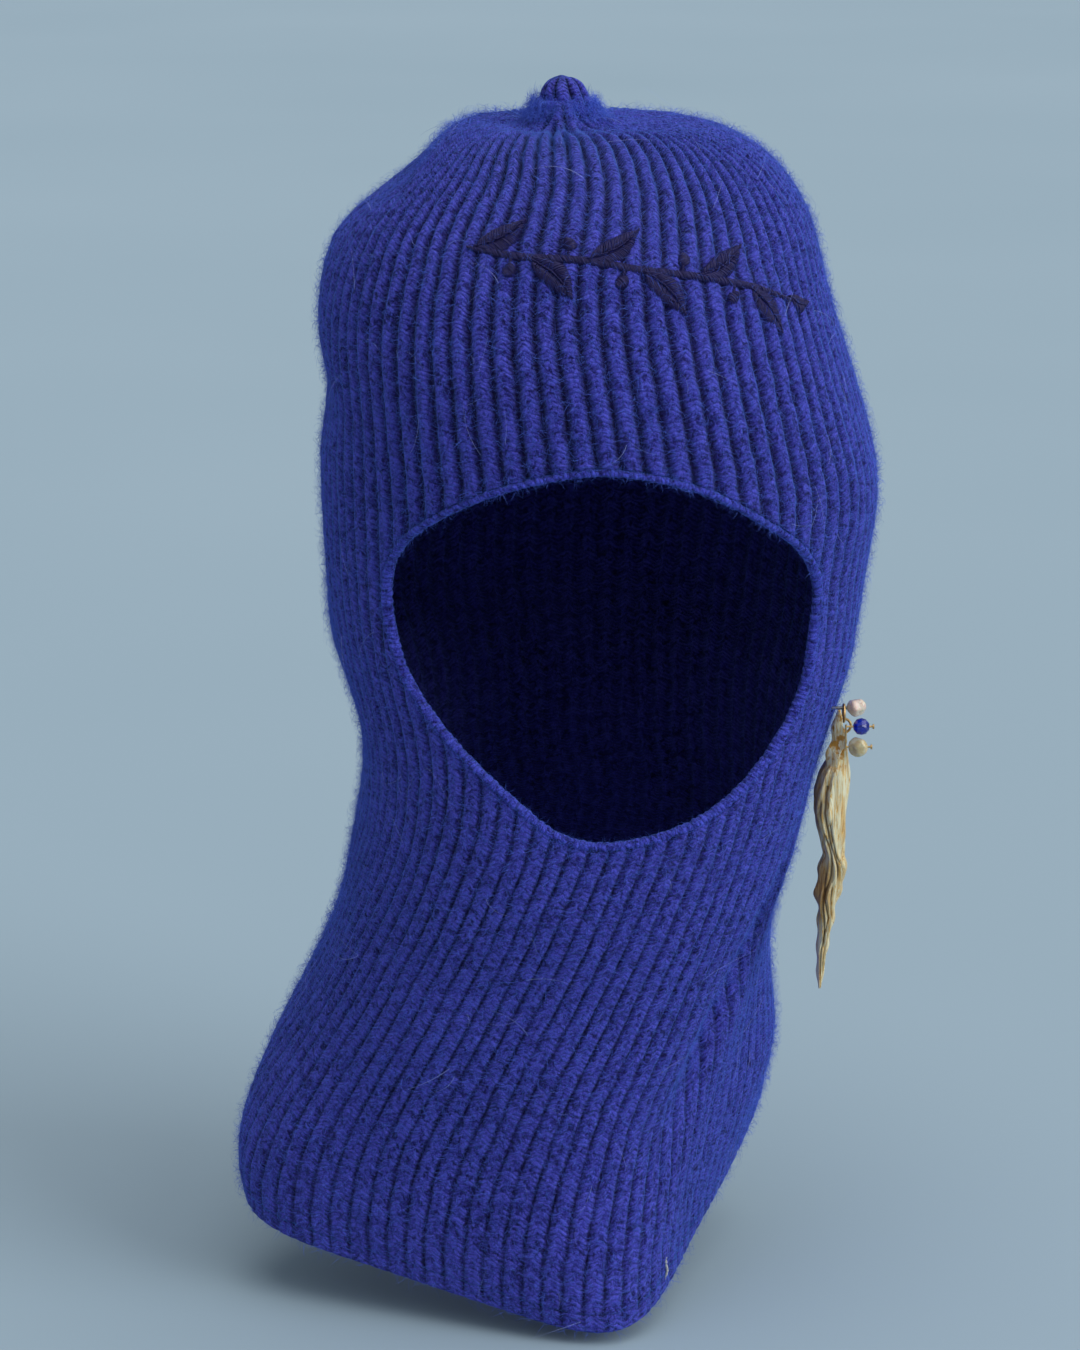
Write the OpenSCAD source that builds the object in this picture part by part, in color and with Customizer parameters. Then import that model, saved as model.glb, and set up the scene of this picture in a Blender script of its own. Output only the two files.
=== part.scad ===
// Rib-knit balaclava with a hanging shell ornament, in millimetres.
// The origin is the centre of the head cavity at eye level. The face looks along -Y,
// +Z is up and +X is the wearer's left. Each node is one separate piece.

/* [Hood] */
// Width of the hood over the ears
hood_w = 172; // [160:1:190]
// Depth of the hood from forehead to the back of the head
hood_d = 200; // [186:1:216]
// Height of the crown tip above eye level
crown_h = 134; // [124:1:146]
// Depth of the hem's side below eye level
neck_drop = 200; // [180:1:220]
// Thickness of the ribbed knit
knit_t = 3.4; // [2.6:0.1:4.2]
// Length of the smooth tubular start of the rib at the hem
hem_h = 7; // [5:0.5:10]
// Width of the bound-off band round the face opening
edge_w = 3.2; // [2.4:0.1:4.4]

/* [Embroidery] */
// Height of the satin stitches above the knit
stitch_h = 0.9; // [0.6:0.1:1.4]
// Width of the sprig's stem
stem_w = 2.4; // [1.6:0.1:3.2]
// Length of a leaf along the stem
leaf_len = 15; // [11:0.5:18]
// Width of a leaf
leaf_w = 6.4; // [4:0.2:8]

/* [Ornament] */
// Diameter of the pin's wire
pin_d = 1.0; // [0.8:0.1:1.4]
// Radius of the link ring, to the middle of its wire
ring_r = 2.6; // [2.2:0.1:3.2]
// Radius of the shell's loop, to the middle of its wire
loop_r = 2.2; // [2:0.1:2.6]
// Diameter of the ring's and the loop's wire
wire_d = 0.8; // [0.7:0.05:0.9]
// Length of the shell
shell_len = 83; // [80:1:94]
// Diameter of the two pearls
pearl_d = 6.2; // [5.4:0.1:6.6]
// Diameter of the glass bead
glass_d = 5.4; // [4.6:0.1:5.8]

/* [Hidden] */

// Scale of the drawn rings in each direction.
sx = hood_w / 172;
sy = hood_d / 200;

// Rings of the hood, from the hem to the crown tip. Each is a rounded outline:
// [height, centre x, centre y, half width, half depth in front, half depth behind,
//  squareness, turn, rise per mm backwards, rise per mm sideways]
rings = [
    [-200, -27, -5, 69, 73, 72, 6.2, -21, 0.40, -0.04],
    [-182, -28, -4, 71, 75, 72, 5.2, -20, 0.36, -0.04],
    [-155, -23, -3, 69, 77, 71, 3.4, -16, 0.27, -0.04],
    [-120, -12, -5, 68, 82, 70, 2.7, -9, 0.16, -0.02],
    [-90, -5, -8, 70, 86, 74, 2.4, -3, 0.08, 0],
    [-64, -1, -9, 72, 87, 82, 2.3, 0, 0.04, 0],
    [-38, 0, -6, 79, 88, 95, 2.3, 0, 0, 0],
    [-8, 0, -2, 84, 92, 102, 2.2, 0, 0, 0],
    [22, 0, 0, 86, 96, 104, 2.2, 0, 0, 0],
    [52, -4, 0, 82, 95, 103, 2.2, 0, 0, 0],
    [78, -7, 2, 78, 89, 96, 2.2, 0, 0, 0],
    [98, -6, 4, 70, 77, 84, 2.3, 0, 0, 0],
    [114, -4, 4, 55, 58, 64, 2.4, 0, 0, 0],
    [123, -6, 2, 37, 36, 42, 2.4, 0, 0, 0],
    [124, -10, -2, 15, 15, 19, 2.2, 0, 0, 0],
    [134, -11, -4, 7.4, 7, 8, 2, 0, 0, 0]
];

// Soft folds: [angle, height, half angle, half height, slope, outward height of the fold]
folds = [
    [-95, 108, 32, 11, 0, -11],
    [0, 112, 11, 22, 0, 4],
    [-112, -36, 30, 22, 0, 6],
    [62, -118, 9, 34, 0.25, -13],
    [105, -165, 26, 25, 0, 9],
    [-80, 43, 25, 12, 0, -3],
    [-60, -205, 14, 40, 0, 4],
    [80, 70, 30, 20, 0, -2]
];

// Face opening, clockwise from its top: [angle round the head, level between hem and tip]
opening = [
    [2, 0.555], [17, 0.543], [29, 0.519], [40, 0.493], [45.5, 0.468], [45.8, 0.438],
    [44.5, 0.400], [38.5, 0.369], [29, 0.339], [18, 0.319], [4, 0.309], [-6, 0.315],
    [-15, 0.334], [-26, 0.361], [-35, 0.388], [-42.5, 0.420], [-44.8, 0.461],
    [-40, 0.496], [-27.5, 0.526], [-13, 0.547]
];
opening_mid = [0, 0.43];

last = len(rings) - 1;
hem_level = hem_h / 18 / last;
side_rows = 27;
half_cols = 24;
depth_steps = 8;

// Angle left open between the two halves, which the side seams bridge on the inside.
seam_gap = 0.25;
seam_rows = 25;

// Value at f on the smooth curve that passes through b and c.
function curve(a, b, c, d, f) =
    0.5 * (2 * b + (c - a) * f + (2 * a - 5 * b + 4 * c - d) * f * f
           + (3 * b - a - 3 * c + d) * f * f * f);

// Smooth point at t, from 0 to 1, of an open list of points.
function along(p, t) =
    let (n = len(p) - 1, x = t * n, i = min(floor(x), n - 1))
    curve(p[max(i - 1, 0)], p[i], p[i + 1], p[min(i + 2, n)], x - i);

// The same for a closed list.
function round_about(p, t) =
    let (n = len(p), x = t * n, i = floor(x))
    curve(p[(i + n - 1) % n], p[i % n], p[(i + 1) % n], p[(i + 2) % n], x - i);

// Angle between -180 and 180.
function wrap(a) = a - 360 * floor((a + 180) / 360);

// Outward height of all folds at angle a and height z.
function fold_at(a, z) =
    let (h = [for (f = folds)
        let (d = wrap(a - f[0] - f[4] * (z - f[1])) / f[2], e = (z - f[1]) / f[3])
        f[5] * exp(-d * d - e * e)])
    h * [for (f = folds) 1];

// Point of the outer surface at angle a, 0 in front, and level t, 0 at the hem.
function skin(a, t) =
    let (k = along(rings, t), c = cos(a), s = sin(a), n = k[6],
         ry = c > 0 ? k[4] : k[5],
         r = pow(pow(abs(c) / ry, n) + pow(abs(s) / k[3], n), -1 / n) + fold_at(a, k[0]),
         x = r * s, y = -r * c,
         dx = x * cos(k[7]) - y * sin(k[7]),
         dy = x * sin(k[7]) + y * cos(k[7]),
         z = k[0] + k[8] * dy + k[9] * dx)
    [sx * (k[1] + dx), sy * (k[2] + dy), z * (z > 0 ? crown_h / 134 : neck_drop / 200)];

// Outward direction of the surface.
function outward(a, t) =
    let (lo = max(t - 0.004, 0), hi = min(t + 0.004, 1),
         n = cross(skin(a + 0.5, t) - skin(a - 0.5, t), skin(a, hi) - skin(a, lo)))
    n / norm(n);

// Point at a height above the surface, or below it where the height is negative.
function lifted(a, t, h) = skin(a, t) + h * outward(a, t);

// Faces of a closed solid made of two grids of points, the outer one listed first.
// Columns go round to the right and rows go up. A ring joins its last column to its first.
function two_grid_faces(cols, rows, ring) =
    let (n = cols * rows, last_c = ring ? cols : cols - 1)
    [
        for (j = [0 : rows - 2], i = [0 : last_c - 1])
            let (a = j * cols + i, b = j * cols + (i + 1) % cols)
            each [[a, a + cols, b + cols, b], [n + a, n + b, n + b + cols, n + a + cols]],
        for (i = [0 : last_c - 1])
            let (a = i, b = (i + 1) % cols, top = (rows - 1) * cols)
            each [[a, b, n + b, n + a], [top + a, n + top + a, n + top + b, top + b]],
        if (!ring)
            for (j = [0 : rows - 2])
                let (a = j * cols, b = j * cols + cols - 1)
                each [[a, n + a, n + a + cols, a + cols], [b, b + cols, n + b + cols, n + b]]
    ];

// Sheet of cloth that follows the surface between two heights.
module cloth(a0, a1, t0, t1, top, bottom, cols, rows, ring = false) {
    width = ring ? cols : cols - 1;
    places = [for (j = [0 : rows - 1], i = [0 : cols - 1])
        [a0 + (a1 - a0) * i / width, t0 + (t1 - t0) * j / (rows - 1)]];
    polyhedron(
        concat([for (p = places) lifted(p[0], p[1], top)],
               [for (p = places) lifted(p[0], p[1], bottom)]),
        two_grid_faces(cols, rows, ring),
        convexity = 6);
}

// Places round the front half's border, clockwise from its top middle.
border = concat(
    [for (i = [0 : half_cols / 2 - 1]) [180 * i / half_cols, 1]],
    [for (i = [0 : side_rows - 1]) [90, 1 - (1 - hem_level) * i / side_rows]],
    [for (i = [0 : half_cols - 1]) [90 - 180 * i / half_cols, hem_level]],
    [for (i = [0 : side_rows - 1]) [-90, hem_level + (1 - hem_level) * i / side_rows]],
    [for (i = [0 : half_cols / 2 - 1]) [-90 + 180 * i / half_cols, 1]]);
around = len(border);

// Place on the opening's outline, moved outwards across the cloth by a width in mm.
function rim(q, width) =
    let (p = round_about(opening, q), d = p - opening_mid)
    opening_mid + d * (1 + width / 60);

// Elliptical thread laid on the surface along a route of [angle, level] places.
// widths and heights are half sizes at each of the route's points.
module thread(route, widths, heights, lift, steps, sides = 8) {
    sections = [for (i = [0 : steps])
        let (f = i / steps, p = along(route, f), q = along(route, max(f - 0.02, 0)),
             r = along(route, min(f + 0.02, 1)),
             n = outward(p[0], p[1]), w = along(widths, f), h = along(heights, f),
             d = skin(r[0], r[1]) - skin(q[0], q[1]), b = cross(n, d) / norm(cross(n, d)))
        [for (k = [0 : sides - 1])
            lifted(p[0], p[1], lift + h) + b * w * cos(360 * k / sides)
            + n * h * sin(360 * k / sides)]];
    tube(sections);
}

// Closed tube through a list of equal rings of points.
module tube(sections) {
    rows = len(sections);
    sides = len(sections[0]);
    polyhedron(
        [for (s = sections) each s],
        concat([[for (k = [0 : sides - 1]) k]],
               [[for (k = [0 : sides - 1]) rows * sides - 1 - k]],
               [for (j = [0 : rows - 2], k = [0 : sides - 1])
                   let (m = (k + 1) % sides)
                   [j * sides + k, (j + 1) * sides + k, (j + 1) * sides + m, j * sides + m]]),
        convexity = 6);
}

// Torus of wire about the local Z axis.
module wire_ring(r, d) {
    rotate_extrude($fn = 48)
        translate([r, 0])
            circle(d = d, $fn = 16);
}

// Pin: where its axis crosses the knit, and the points that hang from it.
pin_angle = 64;
pin_level = 0.371;
pin_at = skin(pin_angle, pin_level);
gap = 0.05;
ring_x = pin_at[0] + 3.2;
ring_z = pin_at[2] + pin_d / 2 + gap - ring_r + wire_d / 2;
hang_z = ring_z - ring_r;
loop_z = hang_z + wire_d / 2 + gap - loop_r + wire_d / 2;
hole_z = loop_z - loop_r - 0.3;
pearl_x = ring_x + wire_d / 2 + 0.4 + pearl_d / 2;

// Shell, from its top down: [down as a share of its length, sideways, forwards,
//  half width, half depth]
shell_rings = [
    [0, 0, 0, 0.45, 1.4], [0.03, 0, 0, 0.6, 2.6], [0.075, -0.2, -0.2, 2.3, 4.6],
    [0.15, -1.2, -0.4, 4.4, 6.2], [0.28, -2.3, -0.6, 5.0, 6.6], [0.40, -2.9, -0.4, 4.6, 6.2],
    [0.52, -3.2, 0.2, 3.9, 5.4], [0.64, -4.0, 0.8, 4.0, 4.6], [0.76, -5.4, 0.6, 3.0, 3.6],
    [0.88, -6.4, 0, 2.0, 2.4], [0.96, -6.6, -0.3, 1.3, 1.5], [1, -6.8, -0.4, 0.5, 0.6]
];
shell_top = hole_z + 1.5;

// Beads: each sits on its own wire, which points along +X from a short upright.
bead_y = pin_at[1] - 6.6;
upright_x = ring_x + 0.2;
glass_at = [ring_x + 4.9, bead_y, hang_z + 0.1];
pearl_at = [ring_x + 4.0, bead_y, hang_z - 6.3];
bead_wire_d = 0.6;

module front_panel() {
    color([0.15, 0.17, 0.55])
        polyhedron(
            concat([for (m = [0 : depth_steps], k = [0 : around - 1]) front_point(m, k, 0)],
                   [for (m = [0 : depth_steps], k = [0 : around - 1])
                       front_point(m, k, -knit_t)]),
            two_grid_faces(around, depth_steps + 1, true),
            convexity = 8);
}

// Point of the front half: step m from the opening out to place k of the border.
function front_point(m, k, h) =
    let (f = m / depth_steps, p = rim(k / around, edge_w) * (1 - f) + border[k] * f)
    lifted(p[0], p[1], h);

module back_panel() {
    color([0.13, 0.15, 0.5])
        cloth(90 + seam_gap, 270 - seam_gap, hem_level, 1, 0, -knit_t,
              half_cols + 1, side_rows + 1);
}

module face_edge() {
    color([0.2, 0.22, 0.62])
        polyhedron(
            concat([for (w = [0, edge_w], k = [0 : around - 1])
                       edge_point(k, w, 0.4)],
                   [for (w = [0, edge_w], k = [0 : around - 1])
                       edge_point(k, w, -knit_t - 0.2)]),
            two_grid_faces(around, 2, true),
            convexity = 6);
}

function edge_point(k, w, h) = let (p = rim(k / around, w)) lifted(p[0], p[1], h);

module hem_edge() {
    color([0.18, 0.2, 0.58])
        cloth(-90, 270, 0, hem_level - 0.0006, -0.2, 0.2 - knit_t, 2 * half_cols, 2, true);
}

module seam(a) {
    top = hem_level + (1 - hem_level) * (seam_rows - 1) / side_rows;
    cloth(a - 2, a + 2, hem_level, top, -knit_t - 1.1, -knit_t - 2, 3, seam_rows);
}

module side_seam_left() {
    color([0.1, 0.12, 0.4])
        seam(-90);
}

module side_seam_right() {
    color([0.1, 0.12, 0.4])
        seam(90);
}

// Last stitches, drawn up into a small domed knot that closes the crown.
module crown_seam() {
    tip = skin(0, 1) / 2 + skin(180, 1) / 2;
    color([0.2, 0.24, 0.65])
        translate(tip + [0, 0, 0.05])
            rotate_extrude($fn = 32)
                polygon([[0, 0], [6.4, 0], [6, 1], [4.2, 2.1], [0, 2.5]]);
}

// Finished end of the seam's yarn, which hangs inside the crown.
module yarn_tail() {
    tip = skin(0, 1) / 2 + skin(180, 1) / 2;
    route = [[0, 0, -1], [1, 1, -10], [-1, 3, -20], [2, 2, -30], [5, 4, -36]];
    color([0.16, 0.18, 0.5])
        tube([for (i = [0 : 12])
            let (p = tip + along(route, i / 12))
            [for (k = [0 : 7]) p + 0.9 * [cos(45 * k), sin(45 * k), 0]]]);
}

// End of the casting-on thread, darned in near the hem's corner.
module hem_tail() {
    color([0.6, 0.6, 0.55])
        thread([[56, 0.022], [56.4, 0.032], [56.2, 0.044]], [0.35, 0.45, 0.3],
               [0.3, 0.35, 0.25], 0.1, 4, 6);
}

// The sprig's stem: a wave across the forehead, lower at the wearer's left.
stem = [[-24, 0.722], [-12, 0.716], [0, 0.714], [12, 0.704], [24, 0.695], [36, 0.682],
        [48, 0.664]];

module sprig_stem() {
    color([0.14, 0.1, 0.3])
        thread(stem, [0.6, stem_w / 2, stem_w / 2, stem_w / 2, stem_w / 2, stem_w / 2, 0.5],
               [0.3, stitch_h / 2, stitch_h / 2, stitch_h / 2, stitch_h / 2, stitch_h / 2, 0.3],
               0.15, 30);
}

// Leaves in pairs along the stem, each leaning towards the sprig's tip.
leaf_places = [0.06, 0.22, 0.38, 0.54, 0.70, 0.86];

module leaf(f, side) {
    root = along(stem, f);
    tilt = side * 0.021;
    start = root + [1.2, side * 0.009];
    grow = leaf_len * 0.62;
    thread([start, start + [grow * 0.33, tilt * 0.62], start + [grow * 0.72, tilt * 1.08],
            start + [grow, tilt * 1.25]],
           [0.5, leaf_w / 2, leaf_w / 2.4, 0.4],
           [0.3, stitch_h / 2, stitch_h / 2, 0.3], 0.15, 8);
}

module sprig_leaves() {
    color([0.16, 0.11, 0.33])
        for (i = [0 : len(leaf_places) - 1])
            leaf(leaf_places[i], i % 2 == 0 ? 1 : -1);
}

module sprig_berries() {
    color([0.18, 0.12, 0.36])
        for (i = [0 : len(leaf_places) - 2])
            berry(leaf_places[i] + 0.085, i % 2 == 0 ? -1 : 1);
}

module berry(f, side) {
    p = along(stem, f) + [0, side * 0.0145];
    thread([p - [1.7, 0], p, p + [1.7, 0]], [0.4, 1.8, 0.4], [0.25, stitch_h / 2, 0.25],
           0.15, 6);
}

// Backing felt inside the forehead, under the whole sprig.
module sprig_backing() {
    color([0.1, 0.1, 0.16])
        cloth(-30, 56, 0.635, 0.765, -knit_t - 1, -knit_t - 1.5, 22, 9);
}

// Straight post through the knit, with the top pearl glued on its outer end.
module pin_post() {
    inner = pin_at[0] - knit_t - 9;
    color([0.8, 0.78, 0.72])
        translate([inner, pin_at[1], pin_at[2]])
            rotate([0, 90, 0])
                cylinder(d = pin_d, h = pearl_x - inner, $fn = 24);
}

module pin_clutch() {
    color([0.75, 0.72, 0.66])
        translate([pin_at[0] - knit_t - 3.1, pin_at[1], pin_at[2]])
            rotate([0, -90, 0])
                difference() {
                    union() {
                        cylinder(r = 3, h = 0.6, $fn = 32);
                        cylinder(r = 1.8, h = 3.2, $fn = 32);
                    }
                    translate([0, 0, -1])
                        cylinder(r = pin_d / 2 + gap, h = 6, $fn = 24);
                }
}

module pearl_top() {
    color([0.9, 0.87, 0.78])
        translate([pearl_x, pin_at[1], pin_at[2]])
            rotate([0, 90, 0])
                difference() {
                    sphere(d = pearl_d, $fn = 40);
                    translate([0, 0, -pearl_d])
                        cylinder(d = pin_d, h = pearl_d, $fn = 24);
                }
}

module link_ring() {
    color([0.72, 0.6, 0.38])
        translate([ring_x, pin_at[1], ring_z])
            rotate([0, 90, 0])
                wire_ring(ring_r, wire_d);
}

module shell_loop() {
    color([0.72, 0.6, 0.38])
        translate([ring_x, pin_at[1], loop_z])
            rotate([90, 0, 0])
                wire_ring(loop_r, wire_d);
}

// Long wrinkled shell, thin at its top, where the loop goes through a drilled hole.
module shell() {
    color([0.82, 0.74, 0.58])
        difference() {
            tube([for (i = [0 : 22])
                let (k = along(shell_rings, i / 22),
                     p = [ring_x + k[1], pin_at[1] + k[2], shell_top - k[0] * shell_len])
                [for (j = [0 : 15])
                    let (a = 22.5 * j, wave = 1 + 0.06 * sin(5 * a + 40 * i))
                    p + [k[3] * wave * cos(a), -k[4] * wave * sin(a), 0]]]);
            translate([ring_x - 5, pin_at[1], hole_z])
                rotate([0, 90, 0])
                    cylinder(r = 0.75, h = 10, $fn = 24);
        }
}

// Upright wire in front of the shell's top, with a headed pin for each bead.
module bead_wires() {
    low = pearl_at[2] - 0.6;
    color([0.78, 0.66, 0.42]) {
        translate([upright_x, bead_y, low])
            cylinder(d = bead_wire_d, h = glass_at[2] + 0.6 - low, $fn = 20);
        translate([upright_x, bead_y, low + 0.3])
            rotate([-90, 0, 0])
                cylinder(d = bead_wire_d, h = 4.5, $fn = 20);
        head_pin(glass_at, glass_d);
        head_pin(pearl_at, pearl_d);
    }
}

module head_pin(at, d) {
    end = at[0] + d / 2 + 0.3;
    translate([upright_x, at[1], at[2]])
        rotate([0, 90, 0])
            cylinder(d = bead_wire_d, h = end + 0.4 - upright_x, $fn = 20);
    translate([end + 0.4, at[1], at[2]])
        rotate([0, 90, 0])
            cylinder(r = 0.75, h = 0.5, $fn = 20);
}

module bead(at, d) {
    translate(at)
        rotate([0, 90, 0])
            difference() {
                sphere(d = d, $fn = 40);
                translate([0, 0, -d])
                    cylinder(r = bead_wire_d / 2 + gap, h = 2 * d, $fn = 20);
            }
}

module glass_bead() {
    color([0.08, 0.14, 0.6])
        bead(glass_at, glass_d);
}

module pearl_low() {
    color([0.86, 0.8, 0.62])
        bead(pearl_at, pearl_d);
}

front_panel();
back_panel();
face_edge();
hem_edge();
side_seam_left();
side_seam_right();
crown_seam();
yarn_tail();
hem_tail();
sprig_stem();
sprig_leaves();
sprig_berries();
sprig_backing();
pin_post();
pin_clutch();
pearl_top();
link_ring();
shell_loop();
shell();
bead_wires();
glass_bead();
pearl_low();
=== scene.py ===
"""Looks of a brushed rib-knit balaclava with an embroidered sprig and a hanging shell ornament.

The axes are the frame's own: the face looks along -Y and +Z is up. Lengths are in mm until
MM turns them into metres for the meshes. A place on the hood is an angle in degrees or a
turn (a share of the ribs), both counted round from the front centre towards the wearer's
left, and a level: 0 at the hem and 1 at the crown tip.
"""

import math

import bpy
import numpy as np
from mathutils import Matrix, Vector


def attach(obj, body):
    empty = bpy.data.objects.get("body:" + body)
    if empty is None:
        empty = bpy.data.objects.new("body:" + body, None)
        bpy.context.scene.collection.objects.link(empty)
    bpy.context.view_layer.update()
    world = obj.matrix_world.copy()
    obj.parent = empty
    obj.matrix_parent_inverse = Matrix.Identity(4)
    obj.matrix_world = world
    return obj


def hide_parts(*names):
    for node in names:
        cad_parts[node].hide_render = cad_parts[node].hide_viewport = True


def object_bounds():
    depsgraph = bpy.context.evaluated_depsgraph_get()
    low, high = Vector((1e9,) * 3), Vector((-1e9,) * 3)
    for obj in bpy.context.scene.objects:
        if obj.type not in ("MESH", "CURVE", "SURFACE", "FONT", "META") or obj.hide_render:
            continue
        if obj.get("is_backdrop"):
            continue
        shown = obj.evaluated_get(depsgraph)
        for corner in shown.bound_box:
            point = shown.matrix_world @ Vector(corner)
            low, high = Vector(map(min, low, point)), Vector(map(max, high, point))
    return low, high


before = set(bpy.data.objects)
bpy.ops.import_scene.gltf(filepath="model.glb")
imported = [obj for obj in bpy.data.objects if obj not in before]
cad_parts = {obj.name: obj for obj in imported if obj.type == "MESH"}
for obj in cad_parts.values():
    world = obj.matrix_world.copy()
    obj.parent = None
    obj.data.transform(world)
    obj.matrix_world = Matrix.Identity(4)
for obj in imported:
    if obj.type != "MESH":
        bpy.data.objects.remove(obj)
MM = 0.001
rng = np.random.default_rng(7)


def note_size(key, notes={}):
    low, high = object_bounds()
    notes[key] = [[round(v, 5) for v in low], [round(v, 5) for v in high]]


note_size("cad")

# ---- surface of the hood

# Rings from the hem to the crown tip, as in the CAD: height, centre x and y, half width,
# half depth in front and behind, squareness, turn, rise backwards, rise sideways.
RINGS = np.array([
    [-200, -27, -5, 69, 73, 72, 6.2, -21, 0.40, -0.04],
    [-182, -28, -4, 71, 75, 72, 5.2, -20, 0.36, -0.04],
    [-155, -23, -3, 69, 77, 71, 3.4, -16, 0.27, -0.04],
    [-120, -12, -5, 68, 82, 70, 2.7, -9, 0.16, -0.02],
    [-90, -5, -8, 70, 86, 74, 2.4, -3, 0.08, 0],
    [-64, -1, -9, 72, 87, 82, 2.3, 0, 0.04, 0],
    [-38, 0, -6, 79, 88, 95, 2.3, 0, 0, 0],
    [-8, 0, -2, 84, 92, 102, 2.2, 0, 0, 0],
    [22, 0, 0, 86, 96, 104, 2.2, 0, 0, 0],
    [52, -4, 0, 82, 95, 103, 2.2, 0, 0, 0],
    [78, -7, 2, 78, 89, 96, 2.2, 0, 0, 0],
    [98, -6, 4, 70, 77, 84, 2.3, 0, 0, 0],
    [114, -4, 4, 55, 58, 64, 2.4, 0, 0, 0],
    [123, -6, 2, 37, 36, 42, 2.4, 0, 0, 0],
    [124, -10, -2, 15, 15, 19, 2.2, 0, 0, 0],
    [134, -11, -4, 7.4, 7, 8, 2, 0, 0, 0],
])

# Soft folds, as in the CAD: angle, height, half angle, half height, slope, outward height.
FOLDS = np.array([
    [-95, 108, 32, 11, 0, -11],
    [0, 112, 11, 22, 0, 4],
    [-112, -36, 30, 22, 0, 6],
    [62, -118, 9, 34, 0.25, -13],
    [105, -165, 26, 25, 0, 9],
    [-80, 43, 25, 12, 0, -3],
    [-60, -205, 14, 40, 0, 4],
    [80, 70, 30, 20, 0, -2],
])

# Face opening, clockwise from its top: angle and level.
OPENING = np.array([
    [2, 0.555], [17, 0.543], [29, 0.519], [40, 0.493], [45.5, 0.468], [45.8, 0.438],
    [44.5, 0.400], [38.5, 0.369], [29, 0.339], [18, 0.319], [4, 0.309], [-6, 0.315],
    [-15, 0.334], [-26, 0.361], [-35, 0.388], [-42.5, 0.420], [-44.8, 0.461],
    [-40, 0.496], [-27.5, 0.526], [-13, 0.547],
])
OPENING_MID = np.array([0, 0.43])
OPENING_REACH = 60  # mm from its middle to its edge, as a scale for moving it outwards
EDGE_W = 3.2
HEM_LEVEL = 7 / 18 / 15
KNIT_T = 3.5
RIBS = 84
COURSE = 1.45  # mm from one row of stitches to the next
GIRTH_MM = 500  # turns times this are about mm, for noise that is even both ways
SEAM_TURN = 0.25
# Levels where ribs start to join near the crown, how many are one from there, and how soon.
RIB_MERGES = (0.895, 0.930, 0.957)
RIBS_JOINED = (1, 2, 4, 12)
MERGE_LEVELS = 0.022


def bell(x, width):
    """Smooth hump, 1 in its middle."""
    return np.exp(-(x / width)**2)


def fade(x, start, length):
    """Straight rise from 0 to 1 that begins at start."""
    return np.clip((x - start) / length, 0, 1)


def saw(x):
    """1 on whole numbers and 0 half-way between them."""
    return np.abs(2 * (x - np.floor(x)) - 1)


def smooth_step(x):
    x = np.clip(x, 0, 1)
    return x * x * (3 - 2 * x)


def run_along(points):
    """Length along a line of points, 0 at the first."""
    return np.concatenate([[0], np.cumsum(np.linalg.norm(np.diff(points, axis=0), axis=1))])


def unit(v):
    return v / np.linalg.norm(v, axis=-1, keepdims=True)


def round_angles(cols):
    """Angles in radians evenly round a tube, as one row."""
    return np.linspace(0, 2 * np.pi, cols, endpoint=False)[None]


def smooth_through(points, t, closed=False):
    """Points at t, from 0 to 1, on the smooth curve through a list of points."""
    points = np.asarray(points, float)
    count = len(points)
    x = np.asarray(t, float) * (count if closed else count - 1)
    i = np.floor(x).astype(int)
    if not closed:
        i = np.clip(i, 0, count - 2)
    f = (x - i)[..., None]
    pick = (lambda k: points[k % count]) if closed else (
        lambda k: points[np.clip(k, 0, count - 1)])
    a, b, c, d = pick(i - 1), pick(i), pick(i + 1), pick(i + 2)
    return 0.5 * (2 * b + (c - a) * f + (2 * a - 5 * b + 4 * c - d) * f**2
                  + (3 * b - a - 3 * c + d) * f**3)


def skin(angle, level):
    """Points of the hood's outer surface, in millimetres."""
    angle, level = np.broadcast_arrays(np.asarray(angle, float), np.asarray(level, float))
    z, cx, cy, rx, front, back, square, turn, rise_y, rise_x = np.moveaxis(
        smooth_through(RINGS, np.clip(level, 0, 1)), -1, 0)
    a = np.radians(angle)
    ry = np.where(np.cos(a) > 0, front, back)
    r = ((np.abs(np.cos(a)) / ry)**square + (np.abs(np.sin(a)) / rx)**square)**(-1 / square)
    for at, height, wide, high, slope, out in FOLDS:
        off = (angle - at - slope * (z - height) + 180) % 360 - 180
        r = r + out * np.exp(-(off / wide)**2 - ((z - height) / high)**2)
    x, y, b = r * np.sin(a), -r * np.cos(a), np.radians(turn)
    dx, dy = x * np.cos(b) - y * np.sin(b), x * np.sin(b) + y * np.cos(b)
    return np.stack([cx + dx, cy + dy, z + rise_y * dy + rise_x * dx], -1)


def outward(angle, level):
    """Unit normals of the surface."""
    low, high = np.clip(level - 0.004, 0, 1), np.clip(level + 0.004, 0, 1)
    n = np.cross(skin(angle + 0.5, level) - skin(angle - 0.5, level),
                 skin(angle, high) - skin(angle, low))
    return unit(n)


# Ribs are evenly spaced round each ring, so a rib's angle depends on the level.
LEVELS = np.linspace(0, 1, 301)
TURNS = np.linspace(-0.5, 0.5, 673)


def ring_tables():
    """Angles of the turns on each ring, and each ring's length in mm."""
    angles = np.arange(-180, 180.5, 0.5)
    rows, lengths = [], []
    for level in LEVELS:
        run = run_along(skin(angles, level))
        lengths.append(run[-1])
        share = run / run[-1]
        share -= np.interp(0, angles, share)
        share = np.concatenate([share[:-1] - 1, share[:-1], share + 1])
        wide = np.concatenate([angles[:-1] - 360, angles[:-1], angles + 360])
        rows.append(np.interp(TURNS, share, wide))
    return np.array(rows), np.array(lengths)


ANGLE_TABLE, GIRTH = ring_tables()
RUN = run_along(skin(ANGLE_TABLE[:, len(TURNS) // 2], LEVELS))


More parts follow.
